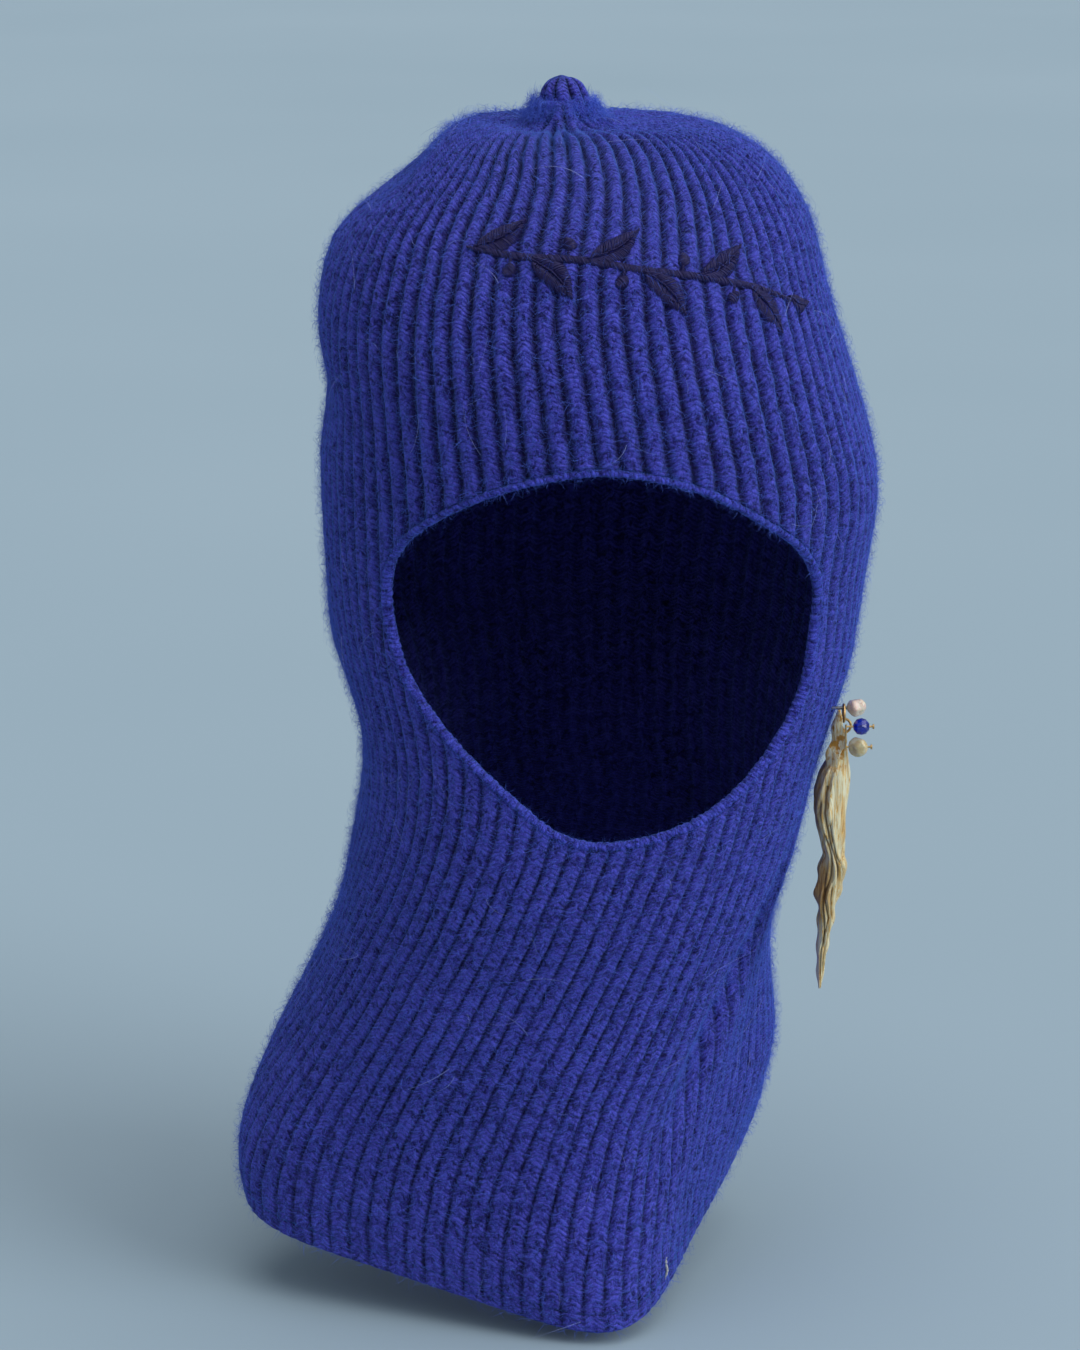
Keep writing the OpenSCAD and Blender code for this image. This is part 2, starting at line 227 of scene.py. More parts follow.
def run_of(level):
    """Length in mm along the front centre rib from the hem to a level."""
    return np.interp(level, LEVELS, RUN)


def level_of(run):
    """Level at a length in mm along the front centre rib."""
    return np.interp(run, RUN, LEVELS)


def drawn_out(turn, level):
    """Extra room that the middle ribs in front and behind take near the crown, as in a
    flat bag: the ribs at the sides crowd together instead."""
    more = np.interp(level, [0.70, 0.80, 0.87, 0.92, 0.96, 1], [0, 0.25, 0.6, 0.8, 0.6, 0.1])
    return more * bell(turn, 0.12) * np.clip(1 - (4 * turn)**2, 0, 1)**2


def share_of(turn, level):
    """Place round a ring, as a share of its length, where the rib of a turn lies."""
    whole = np.floor(turn + 0.5)
    u = turn - whole
    back = np.where(u < 0, -0.5, 0.5) - u
    moved = np.where(np.abs(u) < 0.25, u * (1 + drawn_out(u, level)),
                     u + back - back * (1 + drawn_out(back, level)))
    return moved + whole


def angle_of(turn, level):
    """Angle of a rib that lies a share of a full turn away from the front centre."""
    turn, level = np.broadcast_arrays(np.asarray(turn, float), np.asarray(level, float))
    share = share_of(turn, level)
    whole = np.floor(share + 0.5)
    x = (share - whole + 0.5) * (len(TURNS) - 1)
    y = np.clip(level, 0, 1) * (len(LEVELS) - 1)
    i, j = np.clip(x.astype(int), 0, len(TURNS) - 2), np.clip(y.astype(int), 0, len(LEVELS) - 2)
    f, g = x - i, y - j
    t = ANGLE_TABLE
    return (whole * 360 + (t[j, i] * (1 - f) + t[j, i + 1] * f) * (1 - g)
            + (t[j + 1, i] * (1 - f) + t[j + 1, i + 1] * f) * g)


def turn_of(angle, level):
    """The turn whose rib passes through an angle at a level, in front."""
    out = []
    for a, v in zip(np.ravel(angle), np.ravel(level)):
        j = int(np.clip(v, 0, 1) * (len(LEVELS) - 1))
        share = turn = np.interp(a, ANGLE_TABLE[j], TURNS)
        for _ in range(8):
            turn = share / (1 + drawn_out(turn, v))
        out.append(turn)
    return np.array(out).reshape(np.shape(angle))


class Waves:
    """Smooth seeded noise on a plane, made of a few crossing waves, about -1 to 1."""

    def __init__(self, size, count=9):
        self.k = rng.normal(size=(count, 2)) / size
        self.phase = rng.uniform(0, 6.3, count)

    def __call__(self, x, y):
        total = sum(np.sin(6.3 * (a * x + b * y) + p)
                    for (a, b), p in zip(self.k, self.phase))
        return total / math.sqrt(len(self.phase))


SWAY = Waves(45)
SWELL = Waves(16)
PUCKER = Waves(6)
LUMP = Waves(2.6)


def stitched(turn, run):
    """How strongly the sprig pulls the ribs flat, from 0 to 1."""
    level = level_of(run)
    middle = np.interp(turn, SPRIG_TURNS, SPRIG_LEVELS)
    along = np.clip((turn - SPRIG_TURNS[0] + 0.01) / 0.02, 0, 1) * np.clip(
        (SPRIG_TURNS[-1] + 0.01 - turn) / 0.02, 0, 1)
    return along * np.exp(-((level - middle) / 0.022)**4)


def rib_across(turn, level):
    """How far a place lies from its rib's middle, from 0 to 1 in the groove.
    Ribs join by twos, by twos again and then by threes as the crown draws in."""
    run = run_of(level)
    x = (turn * RIBS + 0.06 * SWAY(turn * GIRTH_MM, run)
         + 0.022 * SWELL(turn * GIRTH_MM, run))
    first, second, third = (fade(level, start, MERGE_LEVELS) for start in RIB_MERGES)
    weights = (1 - first, first * (1 - second), second * (1 - third), third)
    return sum(weight * saw(x / joined) for joined, weight in zip(RIBS_JOINED, weights))


def rib_groove(turn, level):
    """How far down in the groove a place lies, from 0 on the ridge to 1."""
    narrow = np.interp(level, [0, 0.2, 0.36, 0.48, 0.60, 0.8, 1],
                       [4.2, 4.6, 3.6, 2.2, 1.8, 1.9, 2.1])
    narrow = narrow * (1 + 0.10 * SWELL(turn * GIRTH_MM + 90, run_of(level)))
    return rib_across(turn, level)**narrow


def rib_height(turn, level):
    """Height of the knit's outer face in mm, 0 on the ridges and negative in the grooves."""
    run = run_of(level)
    deep = np.interp(level, [0, 0.02, 0.05, 0.2, 0.4, 0.55, 0.8, 0.93, 1],
                     [0.9, 1.1, 1.5, 1.6, 1.8, 2.3, 2.5, 2.7, 2.2])
    deep = deep * (1 + 0.08 * PUCKER(turn * GIRTH_MM, run)) * (1 - 0.5 * stitched(turn, run))
    dimple = 0.28 * bell(rib_across(turn, level), 0.17)
    return (0.2 - deep * rib_groove(turn, level) - dimple
            + 0.07 * PUCKER(turn * GIRTH_MM + 40, run) + 0.09 * LUMP(turn * GIRTH_MM, run)
            + 0.35 * SWAY(turn * 420 + 70, run * 0.8) + gather(turn, level))


def gather(turn, level):
    """Lift in mm of the cloth before the tip, and how far the tip's own end draws in."""
    return (1.2 * bell(turn, 0.055) * bell(level - 0.940, 0.018)
            - 2.8 * smooth_step((level - 0.972) / 0.028))


def inner_depth(turn, level):
    """Depth of the inner face in mm: its ridges lie behind the outer grooves."""
    groove = rib_groove(turn, level)
    return (-KNIT_T + 1.2 * (1 - groove) + 0.08 * PUCKER(turn * GIRTH_MM, run_of(level) + 30)
            + gather(turn, level))


def on_hood(turn, level, height):
    """Points in metres at a height in mm above the surface."""
    angle = angle_of(turn, level)
    return MM * (skin(angle, level) + outward(angle, level) * np.asarray(height)[..., None])


# ---- mesh and material helpers


def mesh_piece(name, points, faces, uvs=None, values=None, smooth=True):
    """A mesh object from points and faces, with optional UVs and a value per point."""
    mesh = bpy.data.meshes.new(name)
    points = np.asarray(points, np.float32).reshape(-1, 3)
    if isinstance(faces, np.ndarray):
        sides = faces.shape[1]
        mesh.vertices.add(len(points))
        mesh.vertices.foreach_set("co", points.ravel())
        mesh.loops.add(faces.size)
        mesh.loops.foreach_set("vertex_index", faces.astype(np.int32).ravel())
        mesh.polygons.add(len(faces))
        mesh.polygons.foreach_set("loop_start", np.arange(0, faces.size, sides, dtype=np.int32))
        mesh.update(calc_edges=True)
    else:
        mesh.from_pydata(points.tolist(), [], faces)
    if uvs is not None:
        loops = np.zeros(len(mesh.loops), np.int32)
        mesh.loops.foreach_get("vertex_index", loops)
        layer = mesh.uv_layers.new(name="knit")
        layer.data.foreach_set("uv", np.asarray(uvs, np.float32)[loops].ravel())
    for key, value in (values or {}).items():
        attribute = mesh.attributes.new(key, "FLOAT", "POINT")
        attribute.data.foreach_set("value", np.asarray(value, np.float32).ravel())
    mesh.polygons.foreach_set("use_smooth", np.full(len(mesh.polygons), smooth))
    mesh.validate()
    piece = bpy.data.objects.new(name, mesh)
    bpy.context.scene.collection.objects.link(piece)
    return piece


def grid_quads(rows, cols, start=0, ring=False, flip=False):
    """Quads of a grid whose rows are stored one after another."""
    j, i = np.meshgrid(np.arange(rows - 1), np.arange(cols if ring else cols - 1),
                       indexing="ij")
    a = start + j * cols + i
    b = start + j * cols + (i + 1) % cols
    quads = np.stack([a, b, b + cols, a + cols], -1).reshape(-1, 4)
    return quads[:, ::-1] if flip else quads


class Graph:
    """A material's node graph, with the Principled shader ready."""

    def __init__(self, name, **shader):
        self.material = bpy.data.materials.new(name)
        self.material.use_nodes = True
        self.tree = self.material.node_tree
        self.shader = self.tree.nodes["Principled BSDF"]
        for key, value in shader.items():
            self.shader.inputs[key.replace("_", " ")].default_value = value

    def add(self, kind, inputs=(), out=0, **settings):
        """An output of a new node. Inputs are numbers, colours or sockets, by place or name."""
        node = self.tree.nodes.new("ShaderNode" + kind)
        for key, value in settings.items():
            setattr(node, key, value)
        for key, value in inputs.items() if isinstance(inputs, dict) else enumerate(inputs):
            socket = node.inputs[key]
            if isinstance(value, bpy.types.NodeSocket):
                self.tree.links.new(value, socket)
            else:
                socket.default_value = (*value, 1) if socket.type == "RGBA" else value
        return node.outputs[out]

    def math(self, operation, *inputs):
        return self.add("Math", inputs, operation=operation)

    def noise(self, where, scale, detail=3.0, rough=0.55, distortion=0.0):
        return self.add("TexNoise", {"Vector": where, "Scale": scale, "Detail": detail,
                                     "Roughness": rough, "Distortion": distortion}, "Fac")

    def ramp(self, value, *stops):
        """Colours or grey levels between places: (place, colour) pairs."""
        node = self.tree.nodes.new("ShaderNodeValToRGB")
        points = node.color_ramp.elements
        while len(points) < len(stops):
            points.new(0.5)
        for point, (place, colour) in zip(points, stops):
            point.position = place
            point.color = (*colour, 1) if isinstance(colour, tuple) else (colour,) * 3 + (1,)
        self.tree.links.new(value, node.inputs[0])
        return node.outputs[0]

    def mix(self, share, a, b):
        """Colour a turned into b by a share."""
        return self.add("Mix", {0: share, 6: a, 7: b}, 2, data_type="RGBA")

    def bump(self, height, distance, strength=1.0):
        return self.add("Bump", {"Strength": strength, "Distance": distance, "Height": height})

    def attribute(self, name):
        return self.add("Attribute", out="Fac", attribute_name=name)

    def coords(self, output="Object"):
        return self.add("TexCoord", out=output)

    def part(self, vector, axis):
        """One number of a vector."""
        return self.add("SeparateXYZ", (vector,), axis)

    def set(self, **links):
        """Links sockets to the shader and returns the finished material."""
        for key, socket in links.items():
            self.tree.links.new(socket, self.shader.inputs[key.replace("_", " ")])
        return self.material


def dress(piece, material):
    """Gives every slot of a piece one material."""
    piece.data.materials.clear()
    piece.data.materials.append(material)
    return piece


def fit(piece, node, material, body="hood"):
    """Gives a piece its material, the body it rides on and the CAD node it replaces."""
    dress(piece, material)
    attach(piece, body)
    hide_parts(node)
    return piece


# ---- materials


def knit_material(name, ridge, bright, groove, stitch_depth=0.0009):
    """Brushed wool rib with stacked V stitches on the ridges and loose fibres. Its groove colour
    is painted shade, laid into the rib grooves, between the stitches and in small pits; a painted
    sheen turns it a lighter cyan blue towards grazing angles.
    """
    g = Graph(name, Roughness=0.92, Sheen_Weight=0.28, Sheen_Roughness=0.38,
              Sheen_Tint=(0.24, 0.40, 1.0, 1), Specular_IOR_Level=0.12)
    at = g.coords()
    rib, course = (g.part(g.coords("UV"), axis) for axis in "XY")
    across = g.attribute("across")
    wobble = g.math("MULTIPLY", g.noise(at, 260, 3, 0.6), 1.9)
    leaning = g.math("MULTIPLY_ADD", across, 1.15, g.math("ADD", course, wobble))
    rung = g.math("SINE", g.math("MULTIPLY", g.math("FRACT", leaning), math.pi))
    cell = g.add("CombineXYZ", (g.math("FLOOR", rib), g.math("FLOOR", leaning)))
    own = g.add("TexWhiteNoise", (cell,))
    leg = g.math("SINE", g.math("MULTIPLY", across, 0.8 * 2 * math.pi))
    stitch = g.math("MULTIPLY_ADD", leg, 0.22, g.math("MULTIPLY", rung, 0.8))

    fibre = g.noise(at, 2600, 3, 0.7, 1.5)
    strand = g.noise(at, 950, 4, 0.68, 2.5)
    pebble = g.noise(at, 560, 2, 0.5, 0.8)
    patch = g.noise(at, 30, 3)
    tone = g.math("ADD", g.math("MULTIPLY", strand, 0.40), g.math("MULTIPLY", fibre, 0.22))
    tone = g.math("MULTIPLY_ADD", pebble, 0.33, g.math("MULTIPLY_ADD", own, 0.08, tone))
    colour = g.mix(g.ramp(tone, (0.43, 0.0), (0.60, 1.0)), ridge, bright)
    # Painted shade in pits: the low places of the pebble noise, which the bump also sinks, take
    # the groove colour.
    pits = g.ramp(pebble, (0.33, 0.75), (0.45, 0.0))
    colour = g.mix(pits, colour, groove)
    colour = g.mix(g.ramp(patch, (0.35, 0.0), (0.7, 0.22)), colour, bright)
    # Painted shade between the stitches, where the stitch relief is low.
    colour = g.mix(g.ramp(stitch, (0.10, 0.48), (0.55, 0.0)), colour, groove)
    # Painted shade down in the rib grooves, from each piece's groove value.
    depth = g.attribute("groove")
    colour = g.mix(g.ramp(depth, (0.22, 0.0), (0.80, 0.90)), colour, groove)
    # Painted sheen: the colour turns a lighter cyan blue towards grazing angles.
    rim_sheen_share = g.add("LayerWeight", {"Blend": 0.5}, "Facing")
    colour = g.mix(g.ramp(rim_sheen_share, (0.60, 0.0), (0.97, 0.75)), colour, (0.05, 0.17, 0.66))
    height = g.math("ADD", g.math("MULTIPLY", stitch, g.math("MULTIPLY_ADD", own, 0.5, 0.45)),
                    g.math("ADD", g.math("MULTIPLY", strand, 0.9),
                           g.math("MULTIPLY", pebble, 1.6)))
    return g.set(Base_Color=colour, Normal=g.bump(height, stitch_depth, 1.0))


# Ridge, lighter fibre and groove colours of the knit; the groove colour is painted shade for the
# rib grooves, the stitch gaps and the pits.
RIDGE = (0.018, 0.016, 0.20)
BRIGHT = (0.125, 0.125, 0.80)
GROOVE_SHADE = (0.007, 0.002, 0.038)

knit = knit_material("brushed_blue_rib", RIDGE, BRIGHT, GROOVE_SHADE)
bound = knit_material("bound_off_edge", (0.017, 0.019, 0.22), (0.105, 0.12, 0.78), GROOVE_SHADE,
                      0.0006)


def fibre_material(name, dark, light):
    """Loose wool fibres that catch the light a little."""
    g = Graph(name, Roughness=0.6, Sheen_Weight=0.4, Sheen_Tint=(0.25, 0.55, 1.0, 1),
              Specular_IOR_Level=0.2)
    return g.set(Base_Color=g.mix(g.noise(g.coords(), 300, 2), dark, light))


fibres = fibre_material("loose_blue_fibre", (0.030, 0.055, 0.42), (0.12, 0.22, 0.92))


def thread_material():
    """Lustrous dark violet embroidery thread, lighter where it turns to the light."""
    g = Graph("violet_satin_thread", Roughness=0.50, Sheen_Weight=0.06,
              Sheen_Tint=(0.4, 0.35, 0.9, 1), Specular_IOR_Level=0.3, Anisotropic=0.3)
    at = g.coords()
    colour = g.mix(g.noise(at, 700, 3), (0.007, 0.005, 0.042), (0.024, 0.018, 0.120))
    return g.set(Base_Color=colour, Normal=g.bump(g.noise(at, 3000, 2), 0.0001, 0.5))


thread = thread_material()

# ---- the two knitted halves

# The sprig's middle line, as angles and levels. The ribs lie flat under it.
SPRIG_ROUTE = np.array([
    [-24, 0.722], [-12, 0.716], [0, 0.714], [12, 0.704], [24, 0.695], [36, 0.682],
    [48, 0.664],
])
SPRIG_TURNS = turn_of(SPRIG_ROUTE[:, 0], SPRIG_ROUTE[:, 1])
SPRIG_LEVELS = SPRIG_ROUTE[:, 1]

COLS_PER_RIB = 8
HALF_ROWS = 120  # rows of faces below the opening's middle line, and as many above it


def opening_edge(q, width):
    """Angles and levels round the opening, moved outwards across the cloth by mm."""
    p = smooth_through(OPENING, q, closed=True)
    return OPENING_MID + (p - OPENING_MID) * (1 + np.asarray(width)[..., None] / OPENING_REACH)


def rim(q, width):
    """Turns and levels round the opening, moved outwards across the cloth by mm."""
    p = opening_edge(q, width)
    return turn_of(p[:, 0], p[:, 1]), p[:, 1]


def opening_levels(turns, width):
    """Lower and upper edge of the opening at each turn, and which turns it crosses."""
    turn, level = rim(np.linspace(0, 1, 721), width)
    right, left = int(np.argmax(turn)), int(np.argmin(turn))
    low_t, low_l = (line[right:left + 1][::-1] for line in (turn, level))
    top_t, top_l = (np.concatenate([line[left:], line[1:right + 1]]) for line in (turn, level))
    inside = (turns > turn[left]) & (turns < turn[right])
    middle = np.interp(turns, [turn[left], turn[right]], [level[left], level[right]])
    low = np.where(inside, np.interp(turns, low_t, low_l), middle)
    high = np.where(inside, np.interp(turns, top_t, top_l), middle)
    return low, high, inside


def knit_half(name, first_turn, last_turn, holed):
    """One half of the hood: outer and inner ribbed faces, joined at every border."""
    cols = int(round((last_turn - first_turn) * RIBS * COLS_PER_RIB)) + 1
    turns = np.linspace(first_turn, last_turn, cols)
    if holed:
        low, high, inside = opening_levels(turns, EDGE_W - 0.6)
    else:
        low = high = np.full(cols, 0.45)
        inside = np.zeros(cols, bool)
    start, end = run_of(HEM_LEVEL), RUN[-1]
    f = np.linspace(0, 1, HALF_ROWS + 1)[:, None]
    lower = start + (run_of(low) - start) * f
    upper = run_of(high) + (end - run_of(high)) * f
    runs = np.concatenate([lower, upper])
    levels = level_of(runs)
    rows = len(runs)
    turn_grid = np.broadcast_to(turns, runs.shape)
    outer = on_hood(turn_grid, levels, rib_height(turn_grid, levels))
    inner = on_hood(turn_grid, levels, inner_depth(turn_grid, levels))
    count = rows * cols

    number = np.arange(count).reshape(rows, cols)
    split = HALF_ROWS
    number[split + 1, ~inside] = number[split, ~inside]
    quads = []
    for layer, flip in ((0, False), (count, True)):
        q = np.stack([number[:-1, :-1], number[:-1, 1:], number[1:, 1:], number[1:, :-1]], -1)
        q = np.concatenate([q[:split].reshape(-1, 4), q[split + 1:].reshape(-1, 4)]) + layer
        quads.append(q[:, ::-1] if flip else q)

    def wall(line):
        """Faces between the outer and inner ends of a border line of points."""
        line = np.asarray(line)
        line = line[np.concatenate([[True], np.diff(line) != 0])]
        return np.stack([line[:-1], line[:-1] + count, line[1:] + count, line[1:]], -1)

    bottom, top = number[0], number[-1][::-1]
    left = np.concatenate([number[:split + 1, 0], number[split + 2:, 0]])[::-1]
    right = np.concatenate([number[:split + 1, -1], number[split + 2:, -1]])
    quads += [wall(bottom), wall(right), wall(top), wall(left)]
    if holed:
        in_cols = np.flatnonzero(inside)
        around = np.arange(in_cols[0] - 1, in_cols[-1] + 2)
        quads.append(wall(number[split, around][::-1]))
        quads.append(wall(number[split + 1, around]))
    faces = np.concatenate(quads)
    points = np.concatenate([outer.reshape(-1, 3), inner.reshape(-1, 3)])
    uv = np.stack([turn_grid * RIBS + 0.5, runs / COURSE], -1).reshape(-1, 2)
    # The groove value marks where the material paints shade: in the outer rib grooves, and at 0.35
    # of that in the inner face's grooves.
    groove = rib_groove(turn_grid, levels).ravel()
    across = rib_across(turn_grid, levels).ravel()
    used = np.zeros(len(points), bool)
    used[faces] = True
    renumber = np.cumsum(used) - 1
    return mesh_piece(name, points[used], renumber[faces], np.concatenate([uv, uv])[used],
                      {"groove": np.concatenate([groove, (1 - groove) * 0.35])[used],
                       "across": np.concatenate([across, 1 - across])[used]})


front_knit = fit(knit_half("front_knit", -SEAM_TURN, SEAM_TURN, True), "front_panel", knit)
back_knit = fit(knit_half("back_knit", SEAM_TURN, 1 - SEAM_TURN, False), "back_panel", knit)

# ---- bound-off edge, hem and seams


def ring_faces(rows, cols):
    """Quads of a tube that closes on itself: rows go along it and cols round it."""
    j, i = np.meshgrid(np.arange(rows), np.arange(cols), indexing="ij")
    k, m = (j + 1) % rows, (i + 1) % cols
    return np.stack([j * cols + i, j * cols + m, k * cols + m, k * cols + i],
                    -1).reshape(-1, 4)


def face_edge_piece():
    """Chain of bound-off stitches round the opening."""
    rows, cols = 1500, 20
    middle, stitch_mm = 1.35, 2.7
    q = np.arange(rows) / rows
    t, v = rim(q, middle)
    line = on_hood(t, v, np.full(rows, -1.2)) / MM
    run = run_along(line)
    whole = run[-1] + np.linalg.norm(line[0] - line[-1])
    stitches = round(whole / stitch_mm)
    s = run / whole * stitches
    upper = fade(v, 0.44, 0.05)
    q_grid = np.repeat(q[:, None], cols, 1)
    phi = 2 * np.pi * np.arange(cols) / cols + 0 * q_grid
    lean = s[:, None] + 0.32 * np.cos(phi)
    chain = np.abs(np.sin(np.pi * lean))**0.7
    swell = 0.84 + 0.16 * chain + 0.05 * np.sin(7.3 * s)[:, None]
    ribs = rib_across(t, v)[:, None]**2
    swell = swell * (1 - 0.16 * ribs)
    across = (1.75 - 0.45 * upper)[:, None] * swell
    deep = (1.95 - 0.15 * upper)[:, None] * swell
    angle, level = np.moveaxis(opening_edge(q_grid, middle + across * np.cos(phi)), -1, 0)
    height = -1.35 + deep * np.sin(phi)
    points = MM * (skin(angle, level) + outward(angle, level) * height[..., None])
    uv = np.stack([phi / np.pi, np.repeat(s[:, None] * 2, cols, 1)], -1)
    # Painted shade: between the chain's stitches, where the rib grooves meet it, and on its side
    # towards the knit.
    groove = np.clip(1.1 - 1.5 * chain, 0, 1) * 0.45 + 0.35 * ribs + 0.35 * np.clip(
        np.cos(phi), 0, 1)**3
    return mesh_piece("face_chain", points.reshape(-1, 3), ring_faces(rows, cols),
                      uv.reshape(-1, 2), {"groove": groove, "across": 0.5 * ribs + 0 * phi})


def hem_piece():
    """Smooth tubular start of the rib, rounded at the bottom."""
    cols = RIBS * COLS_PER_RIB
    turns = np.arange(cols) / cols - 0.5
    top = run_of(HEM_LEVEL)
    outer = [(top * (1 - f), 0.0) for f in np.linspace(0.0, 0.82, 8)]
    under = [(top * (0.18 - 0.18 * math.sin(a)), -1.55 + 1.55 * math.cos(a))
             for a in np.linspace(0.3, math.pi - 0.3, 9)]
    inner = [(top * (1 - f), -3.1) for f in np.linspace(0.82, 0.0, 7)]
    points, uvs, grooves, across = [], [], [], []
    for run, height in outer + under + inner:
        level = np.full(cols, level_of(run))
        ribbed = 0.35 + 0.65 * run / top
        ribs = rib_height(turns, level) if height > -1.6 else inner_depth(turns, level) + 3.1
        points.append(on_hood(turns, level, height + ribbed * ribs))
        uvs.append(np.stack([turns * RIBS + 0.5, np.full(cols, (run + 3.1 + height) / COURSE)],
                            -1))
        # Painted shade in the rib grooves, weaker towards the rounded bottom.
        grooves.append(rib_groove(turns, level) * ribbed)
        across.append(rib_across(turns, level))
    rows = len(points)
    return mesh_piece("hem_start", np.concatenate(points), ring_faces(rows, cols)[:, ::-1],
                      np.concatenate(uvs), {"groove": np.concatenate(grooves),
                                             "across": np.concatenate(across)})


def tube_piece(paths, radius, sides=6):
    """Points and faces of thin tubes: each path is a list of points in metres."""
    all_points, all_faces, start = [], [], 0
    for path, r in zip(paths, radius):
        path = np.asarray(path)
        r = np.broadcast_to(np.asarray(r, float), len(path))
        d = np.gradient(path, axis=0)
        d /= np.linalg.norm(d, axis=1, keepdims=True) + 1e-12
        up = np.array([0.31, 0.52, 0.79]) + 0 * d
        a = unit(np.cross(d, up))
        b = np.cross(d, a)
        phi = 2 * np.pi * np.arange(sides) / sides
        ring = (path[:, None] + r[:, None, None] * (a[:, None] * np.cos(phi)[:, None]
                                                    + b[:, None] * np.sin(phi)[:, None]))
        rows = len(path)
        all_points.append(ring.reshape(-1, 3))
        all_points.append(path[[0, -1]])
        all_faces += grid_quads(rows, sides, start, ring=True).tolist()
        end = start + rows * sides
        for k in range(sides):
            m = (k + 1) % sides
            all_faces.append([start + m, start + k, end])
            all_faces.append([end - sides + k, end - sides + m, end + 1])
        start = end + 2
    return np.concatenate(all_points), all_faces


def chain_seam(name, turn):
    """Linked seam inside the hood: a row of small slanting loops."""
    paths = []
    loop_mm, thread_mm, top = 2.2, 0.42, run_of(0.9)
    a = np.linspace(0, 2 * np.pi, 9)[:-1]
    for s in np.arange(run_of(HEM_LEVEL) + 1, top, loop_mm):
        along = s + 1.5 * np.cos(a)
        side = turn + 0.0021 * np.sin(a) * (1 + 0.3 * np.cos(a))
        height = -KNIT_T - 0.55 - 0.35 * np.sin(a / 2)
        paths.append(on_hood(side, level_of(along), height))
    points, faces = tube_piece(paths, [thread_mm * MM] * len(paths))
    return mesh_piece(name, points, faces)


TIP_RIBS = 9


def crown_knot():
    """The gathered tip: a hollow dome of ribs that run up all round and fold in on top."""
    rows, cols = 44, 18 * TIP_RIBS
    f = np.linspace(0, 1, rows)
    profile = smooth_through([[14.2, 122.4], [10.6, 123.9], [9.0, 127.2], [8.3, 130.4],
                              [7.4, 133.6], [5.6, 136.2], [2.6, 137.6], [0.3, 137.2]], f)
    length = run_along(profile)
    phi = round_angles(cols) + np.zeros((rows, 1))
    part = TIP_RIBS * (phi / (2 * np.pi)) + 0.5 + 0.35 * (f[:, None] - 0.4)
    across = saw(part)
    # The groove depth shapes the tip's ribs and is also the painted shade in them.
    groove = across**2.4 * np.interp(f, [0, 0.75, 1], [1, 1, 0.2])[:, None]
    high = profile[:, 1, None]
    deep = 1.7 * np.interp(f, [0, 0.12, 0.8, 1], [0.3, 1, 1, 0.2])[:, None]
    uneven = 0.35 * np.sin(2 * phi + 1) + 0.25 * np.sin(3 * phi + 0.35 * high)
    layers = []
    for inward in (0, 2.4):
        r = profile[:, 0, None] - inward * np.interp(f, [0, 0.9, 1], [1, 1, 0.1])[:, None]
        r = np.maximum(r + (uneven - deep * groove) * np.minimum(r / 6, 1), 0.1)
        x = np.interp(high, [124, 134], [-10, -11]) + r * np.sin(phi)
        y = np.interp(high, [124, 134], [-2, -4]) - 1.07 * r * np.cos(phi)
        z = high - 0.8 * inward * smooth_step((f[:, None] - 0.5) / 0.5) + 0.5 * uneven
        layers.append(np.stack([x, y, z], -1).reshape(-1, 3))
    count = rows * cols
    faces = grid_quads(rows, cols, 0, ring=True)
    m = np.arange(cols)
    after = (m + 1) % cols
    end = (rows - 1) * cols
    faces = faces.tolist() + (faces[:, ::-1] + count).tolist()
    faces += np.stack([m, count + m, count + after, after], -1).tolist()
    faces += [(end + m).tolist(), (count + end + m[::-1]).tolist()]
    uv = np.stack([part, length[:, None] / COURSE + 0 * part], -1).reshape(-1, 2)
    return mesh_piece("crown_knot", np.concatenate(layers) * MM, faces,
                      np.concatenate([uv, uv]),
                      {"across": np.tile(across.ravel(), 2), "groove": np.tile(groove.ravel(), 2)})


def twisted_yarn(name, route, radius, plies=3, turns=9, steps=90):
    """A plied yarn along a route given in metres."""
    f = np.linspace(0, 1, steps)
    line = smooth_through(np.asarray(route), f)
    d = unit(np.gradient(line, axis=0))
    a = unit(np.cross(d, [0.2, 1, 0.1]))
    b = np.cross(d, a)
    paths, radii = [], []
    for k in range(plies):
        phi = 2 * np.pi * (turns * f + k / plies)
        paths.append(line + 0.52 * radius * (a * np.cos(phi)[:, None] + b * np.sin(phi)[:, None]))
        radii.append(np.full(steps, radius * 0.56) * np.clip((1.04 - f) * 14, 0.3, 1))
    points, faces = tube_piece(paths, radii)
    return mesh_piece(name, points, faces)


# ---- embroidered sprig

CLOTH_W = 530


def on_cloth(x, y, height):
    """Points at flat places in mm: x across from the front centre, y up from the hem."""
    return on_hood(np.asarray(x) / CLOTH_W, level_of(np.asarray(y)), height)


def satin(stitches, high, radius=0.20):
    """Threads from one edge to the other; each stitch is two flat places and a share of high."""
    f = np.linspace(0, 1, 8)
    paths, radii = [], []
    for a, b, share in stitches:
        a, b = np.asarray(a), np.asarray(b)
        line = a + (b - a) * f[:, None] + 0.05 * rng.normal(size=2)
        dome = np.sin(np.pi * f)**0.6
        paths.append(on_cloth(line[:, 0], line[:, 1],
                              -0.35 + (0.45 + high * share + 0.13 * rng.normal()) * dome))
        radii.append(MM * radius * (1 + 0.12 * rng.normal()) * np.clip(1.1 - 0.5 * (1 - dome),
                                                                    0.5, 1))
    return tube_piece(paths, radii)


STITCHES_ON_CLOTH = 0.62  # mm that a full stitch stands above the knit
STEM = np.stack([SPRIG_TURNS * CLOTH_W, run_of(SPRIG_LEVELS)], 1)
LEAF_PLACES = (0.04, 0.20, 0.36, 0.52, 0.68, 0.84)


